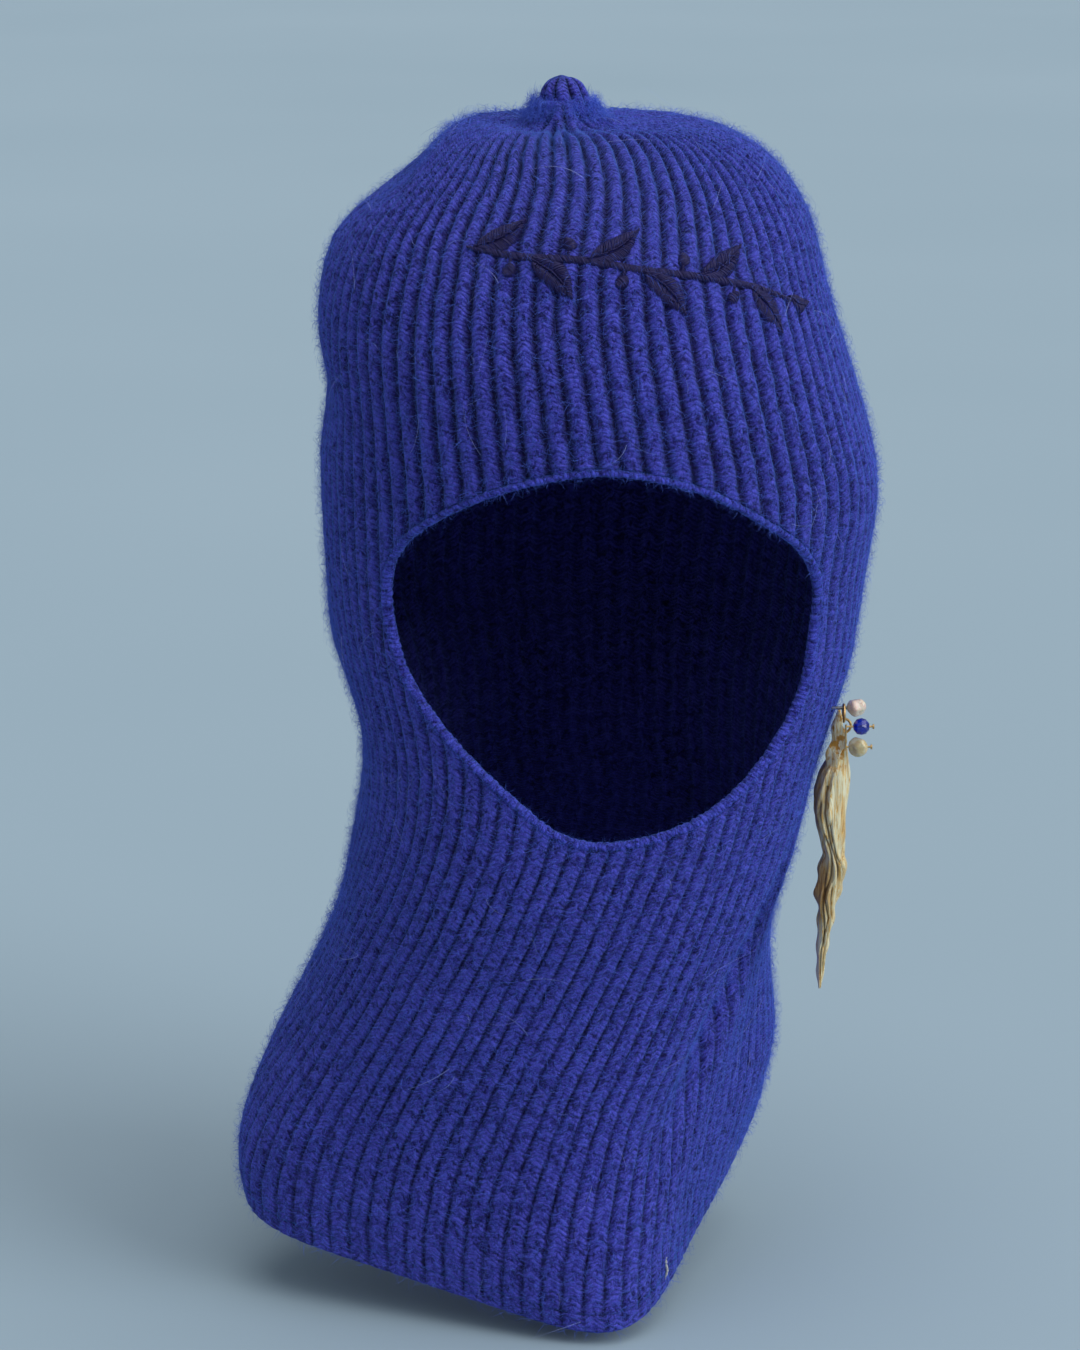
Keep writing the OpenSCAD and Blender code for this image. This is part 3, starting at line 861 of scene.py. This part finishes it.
def stem_at(f):
    """Place on the stem, and the unit vectors along it and across it."""
    p = smooth_through(STEM, np.array([f - 0.005, f, f + 0.005]).clip(0, 1))
    d = unit(p[2] - p[0])
    return p[1], d, left_of(d)


def left_of(d):
    return np.array([-d[1], d[0]])


def stem_stitches():
    """Slanting stitches over the stem, close together."""
    step_mm = 0.48
    length = run_along(smooth_through(STEM, np.linspace(0, 1, 99)))[-1]
    for f in np.arange(0, 1, step_mm / length):
        p, d, n = stem_at(f)
        wide = 1.35 * min(1, 0.35 + 6 * f, 0.3 + 7 * (1 - f))
        yield p + n * wide - d * wide * 0.8, p - n * wide + d * wide * 0.8, 1


def leaf_stitches(place, side, length=17.0, wide=4.2, lean=0.72):
    """Stitches from a leaf's middle line to both its edges, then the middle line itself."""
    step_mm = 0.50
    p, d, n = stem_at(place)
    n = side * n
    start = p + n * 0.9
    heading = d * math.cos(lean) + n * math.sin(lean)
    normal = left_of(heading)
    bend = -side * 1.6

    def rib(u):
        return start + heading * length * u + normal * bend * math.sin(math.pi * u)

    def half(u):
        return wide * math.sin(math.pi * min(max(u, 0), 1)**0.85)**0.9

    for u in np.arange(0.0, 0.97, step_mm / length):
        v = u + 0.10
        for turn in (1, -1):
            edge = rib(min(v, 1)) + normal * turn * half(min(v, 0.995))
            yield rib(u) - normal * turn * 0.12, edge, 1.15
    for u in np.arange(-0.06, 0.9, 0.035):
        yield rib(u), rib(u + 0.05), 1.5


def berry_stitches(place, side, radius=2.1):
    """A round patch of slanting stitches beside the stem, and its short stalk."""
    p, d, n = stem_at(place)
    n = side * n
    middle = p + n * 4.6
    slant = d * 0.8 + n * 0.6
    cross = left_of(slant)
    for t in np.arange(-radius + 0.2, radius, 0.38):
        w = math.sqrt(radius**2 - t**2)
        yield middle + cross * t - slant * w, middle + cross * t + slant * w, 1.3
    for t in np.arange(0, 1, 0.22):
        q = p + n * (0.9 + 1.9 * t)
        yield q - d * 0.5, q + d * 0.5 + n * 0.3, 0.6


def sprig_piece(name, stitches, node):
    points, faces = satin(stitches, STITCHES_ON_CLOTH)
    fit(mesh_piece(name, points, faces), node, thread)


sprig_piece("sprig_stem_threads", list(stem_stitches()), "sprig_stem")
sprig_piece("sprig_leaf_threads",
            [s for i, f in enumerate(LEAF_PLACES) for s in leaf_stitches(f, (1, -1)[i % 2])]
            + list(leaf_stitches(0.985, 1, 11, 2.8, 0.1)), "sprig_leaves")
sprig_piece("sprig_berry_threads",
            [s for i, f in enumerate(LEAF_PLACES[:-1])
             for s in berry_stitches(f + 0.10, (-1, 1)[i % 2])], "sprig_berries")

# ---- small knitted pieces


def felt_backing():
    """Thin stabiliser behind the sprig."""
    cols, rows = 90, 40
    layers = []
    for depth in (-4.3, -4.95):
        u, v = np.meshgrid(np.linspace(-46, 76, cols), np.linspace(0, 1, rows))
        low, high = run_of(0.632), run_of(0.768)
        y = low + (high - low) * v
        layers.append(on_cloth(u, y, depth + 0.1 * np.sin(u / 7 + y / 5)).reshape(-1, 3))
    n = cols * rows
    top, under = grid_quads(rows, cols), grid_quads(rows, cols, n, flip=True)
    border = np.concatenate([np.arange(cols), np.arange(1, rows) * cols + cols - 1,
                             (rows - 1) * cols + np.arange(cols - 2, -1, -1),
                             np.arange(rows - 2, 0, -1) * cols])
    after = np.roll(border, -1)
    wall = np.stack([border, border + n, after + n, after], -1)
    return mesh_piece("backing_felt", np.concatenate(layers),
                      np.concatenate([top, under, wall]))


def plain_wool(name, colour, light):
    """Matt yarn or felt in two tones."""
    g = Graph(name, Roughness=0.9, Sheen_Weight=0.4, Specular_IOR_Level=0.15)
    at = g.coords()
    strands = g.noise(at, 1500, 3, 0.6, 1.0)
    return g.set(Base_Color=g.mix(g.ramp(strands, (0.35, 0.0), (0.7, 1.0)), colour, light),
                 Normal=g.bump(strands, 0.0003, 0.7))


seam_wool = plain_wool("seam_wool", (0.020, 0.028, 0.26), (0.05, 0.08, 0.48))
cast_cotton = plain_wool("pale_casting_thread", (0.38, 0.38, 0.34), (0.66, 0.66, 0.60))
felt = plain_wool("dark_felt", (0.030, 0.032, 0.055), (0.075, 0.08, 0.12))

fit(face_edge_piece(), "face_edge", bound)
fit(hem_piece(), "hem_edge", knit)
fit(chain_seam("left_side_chain", -SEAM_TURN), "side_seam_left", seam_wool)
fit(chain_seam("right_side_chain", SEAM_TURN), "side_seam_right", seam_wool)
fit(crown_knot(), "crown_seam", knit)
backing = fit(felt_backing(), "sprig_backing", felt)
# The yarn's end hangs inside from the tip: route from there in mm.
TIP = (skin(0, 1) + skin(180, 1)) / 2
YARN_END = np.array([[0, 0, -1], [1, 1, -10], [-1, 3, -20], [2, 2, -30], [5, 4, -36]])
fit(twisted_yarn("plied_yarn_end", MM * (TIP + YARN_END), 0.9 * MM), "yarn_tail", seam_wool)
# The casting-on thread is darned in at the hem: angles and levels, then heights in mm.
TAIL = np.array([[56, 0.020], [56.4, 0.030], [56.1, 0.038], [56.7, 0.046]])
TAIL_HEIGHTS = np.array([-0.4, 0.45, 0.35, -0.6])
tail_line = on_hood(turn_of(TAIL[:, 0], TAIL[:, 1]), TAIL[:, 1], TAIL_HEIGHTS)
fit(twisted_yarn("casting_thread_end", tail_line, 0.42 * MM, 2, 4, 40), "hem_tail",
    cast_cotton)

# ---- loose fibres

FUZZ, TIP_FUZZ, LONG_HAIRS, EDGE_FUZZ = 200000, 3200, 420, 5200


def cloth_frame(angle, level):
    """Points and unit vectors of the surface: outwards, up the rib and across it, in mm."""
    n = outward(angle, level)
    up = unit(skin(angle, np.clip(level + 0.002, 0, 1))
              - skin(angle, np.clip(level - 0.002, 0, 1)))
    return skin(angle, level), n, up, np.cross(up, n)


def scattered(count):
    """Random turns and levels, even over the cloth and outside the opening."""
    turn, run = rng.uniform(-0.5, 0.5, count * 2), rng.uniform(0, RUN[-1], count * 2)
    level = level_of(run)
    girth = np.interp(level, LEVELS, GIRTH)
    low, high, inside = opening_levels(turn, EDGE_W)
    kept = rng.uniform(0, GIRTH.max(), count * 2) < girth
    keep = kept & ~(inside & (level > low) & (level < high))
    return turn[keep][:count], level[keep][:count]


def fibre_piece(name, angle, level, start, length, rise, curl, thick, nodes=5):
    """Thin tapered ribbons that leave the surface and bend back towards it."""
    count = len(angle)
    base, n, up, across = cloth_frame(angle, level)
    head = rng.uniform(0, 2 * np.pi, count)[:, None]
    d = np.cos(head) * across + np.sin(head) * up
    side = np.cross(n, d)
    roll = rng.uniform(0, np.pi, count)[:, None]
    flat = side * np.cos(roll) + n * np.sin(roll)
    rows = []
    for s in np.linspace(0, 1, nodes):
        p = (base + n * (start + rise * (1.9 * s - 1.05 * s * s))[:, None]
             + d * (length * (s - 0.16 * (curl * s)**2))[:, None]
             + side * (length * 0.5 * curl * s * s)[:, None])
        half = (thick * (1 - 0.8 * s))[:, None] * flat
        rows += [p - half, p + half]
    points = MM * np.stack(rows, 1).reshape(-1, 3)
    first = (np.arange(count) * nodes * 2)[:, None]
    quads = [first + np.array([[2 * k, 2 * k + 1, 2 * k + 3, 2 * k + 2]])
             for k in range(nodes - 1)]
    return mesh_piece(name, points, np.concatenate(quads))


def fuzz():
    """Short fluff over the whole knit, more of it at the tip, long hairs and a fringe."""
    turn, level = scattered(FUZZ)
    height = rib_height(turn, level)
    on_tip = rng.uniform(0, 1, TIP_FUZZ)
    turn = np.concatenate([turn, rng.uniform(-0.5, 0.5, len(on_tip))])
    level = np.concatenate([level, 0.94 + 0.04 * on_tip])
    height = np.concatenate([height, rng.uniform(0.1, 1.0, len(on_tip))])
    angle = angle_of(turn, level)
    count = len(turn)
    tall = rng.uniform(0, 1, count)**2.0
    fluff = fibre_piece("brushed_fuzz", angle, level, height - 0.15,
                        rng.uniform(1.5, 4.6, count), 0.4 + 3.2 * tall,
                        rng.normal(0, 0.8, count), rng.uniform(0.03, 0.055, count), 4)
    turn, level = scattered(LONG_HAIRS)
    count = len(turn)
    hairs = fibre_piece("long_hairs", angle_of(turn, level), level, rib_height(turn, level),
                        rng.uniform(7, 17, count), rng.uniform(0.8, 3.6, count),
                        rng.normal(0, 1.1, count), rng.uniform(0.035, 0.06, count), 12)
    q = rng.uniform(0, 1, EDGE_FUZZ)
    p = opening_edge(q, rng.uniform(-0.3, 3.4, len(q)))
    rimmed = fibre_piece("edge_fuzz", p[:, 0], p[:, 1], rng.uniform(-1.6, 0.5, len(q)),
                         rng.uniform(1.2, 3.6, len(q)), rng.uniform(0.2, 1.5, len(q)),
                         rng.normal(0, 0.9, len(q)), rng.uniform(0.028, 0.05, len(q)), 4)
    for piece, material in ((fluff, fibres), (hairs, pale_fibres), (rimmed, fibres)):
        dress(piece, material)
        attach(piece, "hood")


pale_fibres = fibre_material("pale_long_fibre", (0.20, 0.25, 0.75), (0.50, 0.56, 0.95))
fuzz()

# ---- shell ornament

# As in the CAD: where the pin goes through the knit, the ring beside it, where the loop
# hangs in the ring, and the hole in the shell's top.
PIN = skin(64, 0.371)
RING_X, PIN_Y = PIN[0] + 3.2, PIN[1]
HANG_Z = PIN[2] - 4.25
HOLE_Z = HANG_Z - 3.85
HOLE_R = 0.75
SHELL_TOP = HOLE_Z + 1.5
SHELL_LEN = 83
BEAD_Y = PIN_Y - 6.6
GLASS_R, PEARL_R = 2.7, 3.1
PIN_BORE, WIRE_BORE = 0.5, 0.36
# Shell from its top down: share of its length, sideways, forwards, half width, half depth.
SHELL = np.array([
    [0, 0, 0, 0.45, 1.4], [0.03, 0, 0, 0.6, 2.6], [0.075, -1.0, -0.2, 2.3, 4.4],
    [0.16, -2.6, -0.4, 4.6, 6.0], [0.23, -3.4, -0.5, 5.2, 6.4], [0.31, -3.7, -0.6, 5.0, 6.4],
    [0.36, -3.4, -0.5, 4.4, 6.0], [0.42, -2.7, -0.3, 3.7, 5.6], [0.476, -2.3, 0, 3.2, 5.0],
    [0.505, -2.3, 0.2, 4.0, 4.8], [0.564, -3.1, 0.4, 4.2, 4.4], [0.637, -4.0, 0.7, 3.6, 4.0],
    [0.71, -4.1, 0.6, 2.6, 3.6], [0.784, -5.0, 0.4, 2.0, 3.0], [0.857, -5.5, 0.1, 1.7, 2.4],
    [0.93, -5.8, -0.2, 1.2, 1.5], [1, -6.0, -0.4, 0.4, 0.6]])
# Creases: depth, half width in degrees, and their route as shares and degrees round.
CREASES = [
    (0.9, 7, [[0.10, 104], [0.2, 112], [0.3, 118], [0.42, 104], [0.52, 70], [0.6, 58]]),
    (0.8, 6, [[0.22, 128], [0.36, 132], [0.46, 112], [0.56, 96], [0.7, 118], [0.86, 80]]),
    (0.6, 5, [[0.3, 100], [0.4, 92], [0.47, 78], [0.53, 46], [0.62, 30]]),
    (0.5, 6, [[0.5, 128], [0.6, 112], [0.72, 84], [0.85, 104], [0.97, 92]]),
    (0.7, 7, [[0.56, 82], [0.66, 72], [0.8, 60], [0.95, 70]]),
    (0.8, 8, [[0.08, 232], [0.3, 250], [0.5, 236], [0.7, 262], [0.95, 250]]),
    (0.6, 7, [[0.15, 285], [0.4, 292], [0.6, 300], [0.85, 280]]),
    (0.5, 6, [[0.12, 170], [0.3, 186], [0.55, 172], [0.8, 190]]),
    (0.5, 6, [[0.12, 20], [0.25, 8], [0.4, 14], [0.6, -10]]),
]


def shell_body():
    """Main wrinkled body: points, painted shade in the creases, and tone."""
    rows, cols = 150, 72
    v = np.linspace(0, 1, rows)[:, None] + np.zeros((1, cols))
    deg = np.linspace(0, 360, cols, endpoint=False)[None] + 0 * v
    place = np.stack([np.interp(v[:, 0], SHELL[:, 0], SHELL[:, k]) for k in range(1, 5)], -1)
    for _ in range(2):
        place[1:-1] = (place[:-2] + 2 * place[1:-1] + place[2:]) / 4
    cx, cy, hx, hy = (place[:, k, None] for k in range(4))
    # fold marks the creases' middles, where the material paints shade; lift sinks them.
    fold, lift = np.zeros_like(v), np.zeros_like(v)
    for deep, wide, route in CREASES:
        route = np.array(route)
        at = np.interp(v, route[:, 0], route[:, 1]) + 4 * np.sin(21 * v + deep * 40)
        ends = fade(v, route[0, 0], 0.05) * np.clip((route[-1, 0] - v) / 0.05, 0, 1)
        off = (deg - at + 180) % 360 - 180
        near = bell(off, wide) * ends
        fold = np.maximum(fold, near)
        lift += deep * (0.5 * bell(np.abs(off) - 2.1 * wide, wide) * ends - near)
    lift *= fade(v, 0.05, 0.08)
    wave = (0.16 * np.sin(np.radians(5 * deg) + 11 * v) + 0.10 * np.sin(
        np.radians(9 * deg) - 29 * v) + 0.14 * np.sin(34 * v + np.radians(2 * deg)))
    wave = wave * fade(v, 0.04, 0.1) * np.minimum(hx / 3, 1)
    c, s = np.cos(np.radians(deg)), np.sin(np.radians(deg))
    frill = 0.5 * fade(v, 0.45, 0.1) * np.sin(60 * v + 1.5) * np.abs(c)**6
    x = cx + (hx + 0.8 * lift + wave + frill * np.minimum(hx / 3, 1)) * c
    y = cy - (hy + 1.3 * lift + wave) * s
    x = x + 0.5 * np.sin(26 * v) * fade(v, 0.5, 0.2) * (1 - v)
    points = np.stack([RING_X + x, PIN_Y + y, SHELL_TOP - v * SHELL_LEN], -1)
    # Tone below 0.5 is browner and above it pearly: a brown patch low on the front is the shell's
    # own brown, the brown on its upper left side is painted shade, and the lower end is pearly.
    tone = 0.5 - 0.5 * bell(v - 0.61, 0.10) * np.clip(-c + 0.3, 0, 1) * (s > 0)
    tone -= 0.35 * np.clip(-c - 0.25, 0, 1) * bell(v - 0.25, 0.14)
    tone += 0.5 * fade(v, 0.78, 0.1) * np.clip(0.2 - c, 0, 1)
    return points, fold, tone


def shell_blade(v0, v1, offset, half, twist, thin, tone):
    """A thin wavy flap beside the body, given over a stretch of its length."""
    rows, cols = 80, 24
    f = np.linspace(0, 1, rows)[:, None] + np.zeros((1, cols))
    v = v0 + (v1 - v0) * f
    place = np.stack([np.interp(v, SHELL[:, 0], SHELL[:, k]) for k in (1, 2)], -1)
    phi = round_angles(cols) + 0 * f
    ends = np.sin(np.pi * np.clip(0.03 + 0.94 * f, 0, 1))**0.6
    a = half * ends * np.cos(phi)
    b = thin * np.sin(phi) + 0.3 * np.sin(9 * f + a * 0.8)
    turn = np.radians(twist[0] + (twist[1] - twist[0]) * f)
    x = place[..., 0] + offset[0] + a * np.cos(turn) - b * np.sin(turn)
    y = place[..., 1] + offset[1] - a * np.sin(turn) - b * np.cos(turn)
    x = x + 0.45 * np.sin(17 * f + 1) * ends
    points = np.stack([RING_X + x, PIN_Y + y, SHELL_TOP - v * SHELL_LEN], -1)
    return points, 0 * f, tone + 0 * f


def shell_piece():
    """The wrinkled body and its flaps as one mesh, with the hole drilled."""
    points, folds, tones, faces, start = [], [], [], [], 0
    for grid, fold, tone in (
            shell_body(),
            shell_blade(0.52, 0.99, (-0.9, -1.6), 2.5, (20, 75), 0.3, 1.0),
            # This flap on the left side takes the brown: partly the shell's own brown, partly
            # painted shade on that side.
            shell_blade(0.07, 0.44, (-2.6, 1.4), 2.7, (20, 40), 0.35, 0.05),
            shell_blade(0.44, 0.66, (1.0, -2.4), 2.3, (-35, 10), 0.3, 0.6),
            shell_blade(-0.085, 0.20, (-1.9, -4.4), 2.6, (40, 25), 0.45, 0.55)):
        rows, cols = grid.shape[:2]
        points.append(grid.reshape(-1, 3))
        folds.append(fold.ravel())
        tones.append(tone.ravel())
        faces += grid_quads(rows, cols, start, ring=True)[:, ::-1].tolist()
        faces.append(list(range(start, start + cols)))
        last = start + (rows - 1) * cols
        faces.append(list(range(last + cols - 1, last - 1, -1)))
        start += rows * cols
    piece = mesh_piece("wrinkled_shell", MM * np.concatenate(points), faces,
                       values={"fold": np.concatenate(folds), "tone": np.concatenate(tones)})
    return drilled(piece, MM * np.array([RING_X, PIN_Y, HOLE_Z]), HOLE_R / 1000)


def drilled(piece, at, radius):
    """Cuts a round hole along X through a piece."""
    sides, half_length = 24, 0.005
    around = np.linspace(0, 2 * np.pi, sides, endpoint=False)
    ring = [(at[0] + end * half_length, at[1] + radius * math.cos(a),
             at[2] + radius * math.sin(a)) for end in (-1, 1) for a in around]
    faces = [[k, (k + 1) % sides, sides + (k + 1) % sides, sides + k] for k in range(sides)]
    faces += [list(range(sides))[::-1], list(range(sides, 2 * sides))]
    cutter = mesh_piece("drill", ring, faces)
    cut = piece.modifiers.new("hole", "BOOLEAN")
    cut.object, cut.operation, cut.solver = cutter, "DIFFERENCE", "EXACT"
    bpy.context.view_layer.update()
    done = bpy.data.meshes.new_from_object(piece.evaluated_get(
        bpy.context.evaluated_depsgraph_get()))
    piece.modifiers.clear()
    piece.data = done
    bpy.data.objects.remove(cutter)
    return piece


def shell_material():
    """Cream shell with gold and brown streaks, painted shade in its creases and on its upper left
    side, some gold leaf at its top and a pearly end.
    """
    g = Graph("wrinkled_cream_shell", Roughness=0.34, Coat_Weight=0.3, Coat_Roughness=0.12,
              Specular_IOR_Level=0.5)
    at = g.coords()
    stretch = g.add("Mapping", {"Vector": at, "Rotation": (0, 0.25, 0), "Scale": (1.0, 0.7, 0.10)})
    streaks = g.noise(stretch, 1100, 5, 0.65, 1.2)
    broad = g.noise(stretch, 300, 3, 0.6, 0.8)
    colour = g.ramp(streaks, (0.36, (0.45, 0.18, 0.03)), (0.41, (0.88, 0.50, 0.12)),
                    (0.46, (1.0, 0.74, 0.32)), (0.54, (1.0, 0.92, 0.62)))
    colour = g.mix(g.ramp(broad, (0.51, 0.0), (0.62, 0.55)), colour, (0.72, 0.42, 0.11))
    # Brown where tone is low: the shell's own brown patch, and painted shade on its upper left
    # side and left flap.
    tone = g.attribute("tone")
    colour = g.mix(g.ramp(tone, (0.15, 0.85), (0.49, 0.0)), colour, (0.46, 0.22, 0.05))
    pearly = g.mix(broad, (0.60, 0.50, 0.48), (0.92, 0.84, 0.66))
    colour = g.mix(g.ramp(tone, (0.62, 0.0), (0.95, 0.8)), colour, pearly)
    # Painted shade: dark brown down in the creases.
    fold = g.attribute("fold")
    colour = g.mix(g.ramp(fold, (0.50, 0.0), (0.92, 0.9)), colour, (0.13, 0.052, 0.014))
    near_top = g.ramp(g.math("MULTIPLY_ADD", g.part(at, "Z"), 40.0, 3.3), (0.45, 0.0),
                      (0.75, 1.0))
    leaf = g.math("MULTIPLY", g.ramp(g.noise(at, 420, 4, 0.6), (0.50, 0.0), (0.55, 1.0)),
                  near_top)
    colour = g.mix(leaf, colour, (0.85, 0.42, 0.08))
    height = g.math("ADD", streaks, g.math("MULTIPLY", g.noise(at, 2400, 3), 0.3))
    return g.set(Base_Color=colour, Metallic=leaf, Normal=g.bump(height, 0.0009, 1.0))


def lumpy_pearl(name, at, radius, bore, seed, closed_end):
    """Baroque pearl on the X axis with a drilled bore."""
    rows, cols = 30, 40
    own = np.random.default_rng(seed)
    low = math.asin(bore / radius)
    theta = np.linspace(low, math.pi if closed_end else math.pi - low, rows)[:, None]
    phi = round_angles(cols)
    x, y, z = -np.cos(theta) + 0 * phi, np.sin(theta) * np.cos(phi), np.sin(theta) * np.sin(phi)
    lump = 0
    for _ in range(7):
        k = own.normal(size=3) * 2.1
        lump = lump + np.sin(k[0] * x + k[1] * y + k[2] * z + own.uniform(0, 6))
    edge = np.clip(np.minimum(theta - low, math.pi - theta) / 0.5, 0, 1)
    r = np.minimum(radius * (0.96 + 0.07 * (lump - 1.2) * edge), radius)
    grid = np.stack([x * r, y * r, z * r], -1)
    inner = np.stack([np.repeat(np.linspace(grid[-1, 0, 0], grid[0, 0, 0], 4)[:, None], cols, 1),
                      bore * np.cos(phi) + np.zeros((4, 1)),
                      bore * np.sin(phi) + np.zeros((4, 1))], -1)
    if closed_end:
        inner[0, :, 0] = 0
        inner[1:, :, 0] = np.linspace(0, grid[0, 0, 0], 3)[:, None]
    points = np.concatenate([grid.reshape(-1, 3), inner.reshape(-1, 3)])
    faces = grid_quads(rows, cols, ring=True).tolist()
    faces += grid_quads(4, cols, rows * cols, ring=True).tolist()
    base, m = rows * cols, np.arange(cols)
    after = (m + 1) % cols
    last = base + 3 * cols
    faces += np.stack([last + m, last + after, after, m], -1).tolist()
    if closed_end:
        faces.append((base + m[::-1]).tolist())
    else:
        end = (rows - 1) * cols
        faces += np.stack([end + m, end + after, base + after, base + m], -1).tolist()
    return mesh_piece(name, MM * (points + np.asarray(at)), faces)


def faceted_bead(at, radius, bore):
    """Fire-polished bead: rows of flat facets round a drilled X axis."""
    sides = 10
    rings = [(-0.93, bore), (-0.86, 0.42 * radius), (-0.5, 0.84 * radius), (0, radius),
             (0.5, 0.84 * radius), (0.86, 0.42 * radius), (0.93, bore)]
    points, faces = [], []
    for k, (x, r) in enumerate(rings):
        for j in range(sides):
            around = 2 * math.pi * (j + 0.5 * (k % 2)) / sides
            points.append((x * radius, r * math.cos(around), r * math.sin(around)))
            a, b = k * sides + j, k * sides + (j + 1) % sides
            c, d = a + sides, b + sides
            if k == len(rings) - 1:
                faces.append([(j + 1) % sides, j, a, b])
            else:
                faces += [[a, b, c], [b, d, c]] if k % 2 == 0 else [[a, b, d], [a, d, c]]
    return mesh_piece("faceted_glass", MM * (np.array(points) + np.asarray(at)), faces,
                      smooth=False)


def pearl_material(name, body, blush):
    """Nacre in two tones with a few brown pits."""
    g = Graph(name, Roughness=0.2, Coat_Weight=1.0, Coat_Roughness=0.06,
              Subsurface_Weight=0.15, Subsurface_Scale=0.001)
    at = g.coords()
    patches = g.noise(at, 330, 3, 0.6, 0.6)
    pits = g.noise(at, 900, 4, 0.7)
    colour = g.mix(g.ramp(patches, (0.40, 0.0), (0.62, 1.0)), body, blush)
    colour = g.mix(g.ramp(pits, (0.60, 0.0), (0.72, 0.6)), colour, (0.35, 0.22, 0.10))
    return g.set(Base_Color=colour, Normal=g.bump(pits, 0.0006, 0.9))


def wire_material(name, colour, rough):
    """Metal wire, duller and rougher where it is worn."""
    g = Graph(name, Metallic=1.0, Roughness=rough)
    wear = g.noise(g.coords(), 700, 4, 0.6)
    dull = tuple(0.45 * c for c in colour)
    return g.set(Base_Color=g.mix(g.ramp(wear, (0.45, 0.0), (0.75, 0.8)), colour, dull),
                 Roughness=g.ramp(wear, (0.3, rough), (0.8, min(1, rough + 0.3))),
                 Normal=g.bump(wear, 0.0001, 0.3))


def glass_material():
    g = Graph("cobalt_glass", Roughness=0.05, IOR=1.52, Transmission_Weight=0.75,
              Coat_Weight=0.5, Coat_Roughness=0.04)
    tint = g.noise(g.coords(), 250, 2)
    return g.set(Base_Color=g.mix(tint, (0.004, 0.018, 0.42), (0.010, 0.050, 0.75)))


def ornament():
    """The shell, the beads and the looks of the wires."""
    fit(shell_piece(), "shell", shell_material(), "pendant")
    fit(faceted_bead((RING_X + 4.9, BEAD_Y, HANG_Z + 0.1), GLASS_R, WIRE_BORE), "glass_bead",
        glass_material(), "glass")
    fit(lumpy_pearl("baroque_pearl_top", (RING_X + 3.9, PIN_Y, PIN[2]), PEARL_R, PIN_BORE, 11,
                    True), "pearl_top",
        pearl_material("rosy_cream_pearl", (0.88, 0.78, 0.60), (0.80, 0.55, 0.44)))
    fit(lumpy_pearl("baroque_pearl_low", (RING_X + 4, BEAD_Y, HANG_Z - 6.3), PEARL_R,
                    WIRE_BORE, 5, False), "pearl_low",
        pearl_material("yellow_cream_pearl", (0.78, 0.70, 0.46), (0.66, 0.50, 0.22)),
        "low_pearl")
    gilt = wire_material("worn_gilt_wire", (0.78, 0.50, 0.20), 0.30)
    steel = wire_material("dark_pin_wire", (0.30, 0.29, 0.27), 0.34)
    for node, material in (("link_ring", gilt), ("shell_loop", gilt), ("bead_wires", gilt),
                           ("pin_post", steel), ("pin_clutch", steel)):
        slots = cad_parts[node].data.materials
        for k in range(len(slots)):
            slots[k] = material


ornament()

# ---- stage, light and camera


def stage():
    """Plain pale floor just under the hem, and a soft even sky."""
    floor_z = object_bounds()[0][2] - 0.0006
    size = 9
    floor = mesh_piece("floor", [(-size, -size, floor_z), (size, -size, floor_z),
                                 (size, size, floor_z), (-size, size, floor_z)],
                       [(0, 1, 2, 3)], smooth=False)
    g = Graph("pale_floor", Roughness=0.9, Specular_IOR_Level=0.1)
    dress(floor, g.set(Base_Color=g.mix(g.noise(g.coords(), 1.5, 2), (0.33, 0.43, 0.50),
                                        (0.37, 0.47, 0.54))))
    floor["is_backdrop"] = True
    world = bpy.data.worlds.new("studio")
    world.use_nodes = True
    background = world.node_tree.nodes["Background"]
    background.inputs["Color"].default_value = (0.60, 0.70, 0.78, 1)
    background.inputs["Strength"].default_value = 0.42
    bpy.context.scene.world = world


def sun_light(name, towards, power, spread, colour):
    """Soft light from a direction, even over the whole floor; its spread is in degrees."""
    data = bpy.data.lights.new(name, "SUN")
    data.energy, data.angle, data.color = power, math.radians(spread), colour
    lamp = bpy.data.objects.new(name, data)
    lamp.rotation_euler = Vector(towards).to_track_quat("Z", "Y").to_euler()
    bpy.context.scene.collection.objects.link(lamp)


def camera():
    """The photograph's view: nearly frontal and a little from above."""
    tilt = math.radians(14)
    reach = 1.3
    aim = Vector((-0.018, 0, -0.0503))
    data = bpy.data.cameras.new("view")
    data.sensor_width = 36
    data.lens = 110
    data.clip_start = 0.05
    eye = bpy.data.objects.new("view", data)
    eye.location = aim + reach * Vector((0, -math.cos(tilt), math.sin(tilt)))
    eye.rotation_euler = (aim - eye.location).to_track_quat("-Z", "Y").to_euler()
    bpy.context.scene.collection.objects.link(eye)
    bpy.context.scene.camera = eye


stage()
sun_light("sky", (0.4, -0.15, 1.6), 1.5, 70, (1, 0.98, 0.96))
sun_light("window", (1.5, -0.9, 0.8), 1.5, 40, (0.92, 0.96, 1))
sun_light("fill", (-0.6, -1.5, 0.9), 0.12, 80, (1, 0.97, 0.94))
camera()
bpy.context.scene.view_settings.view_transform = "Standard"
note_size("end")
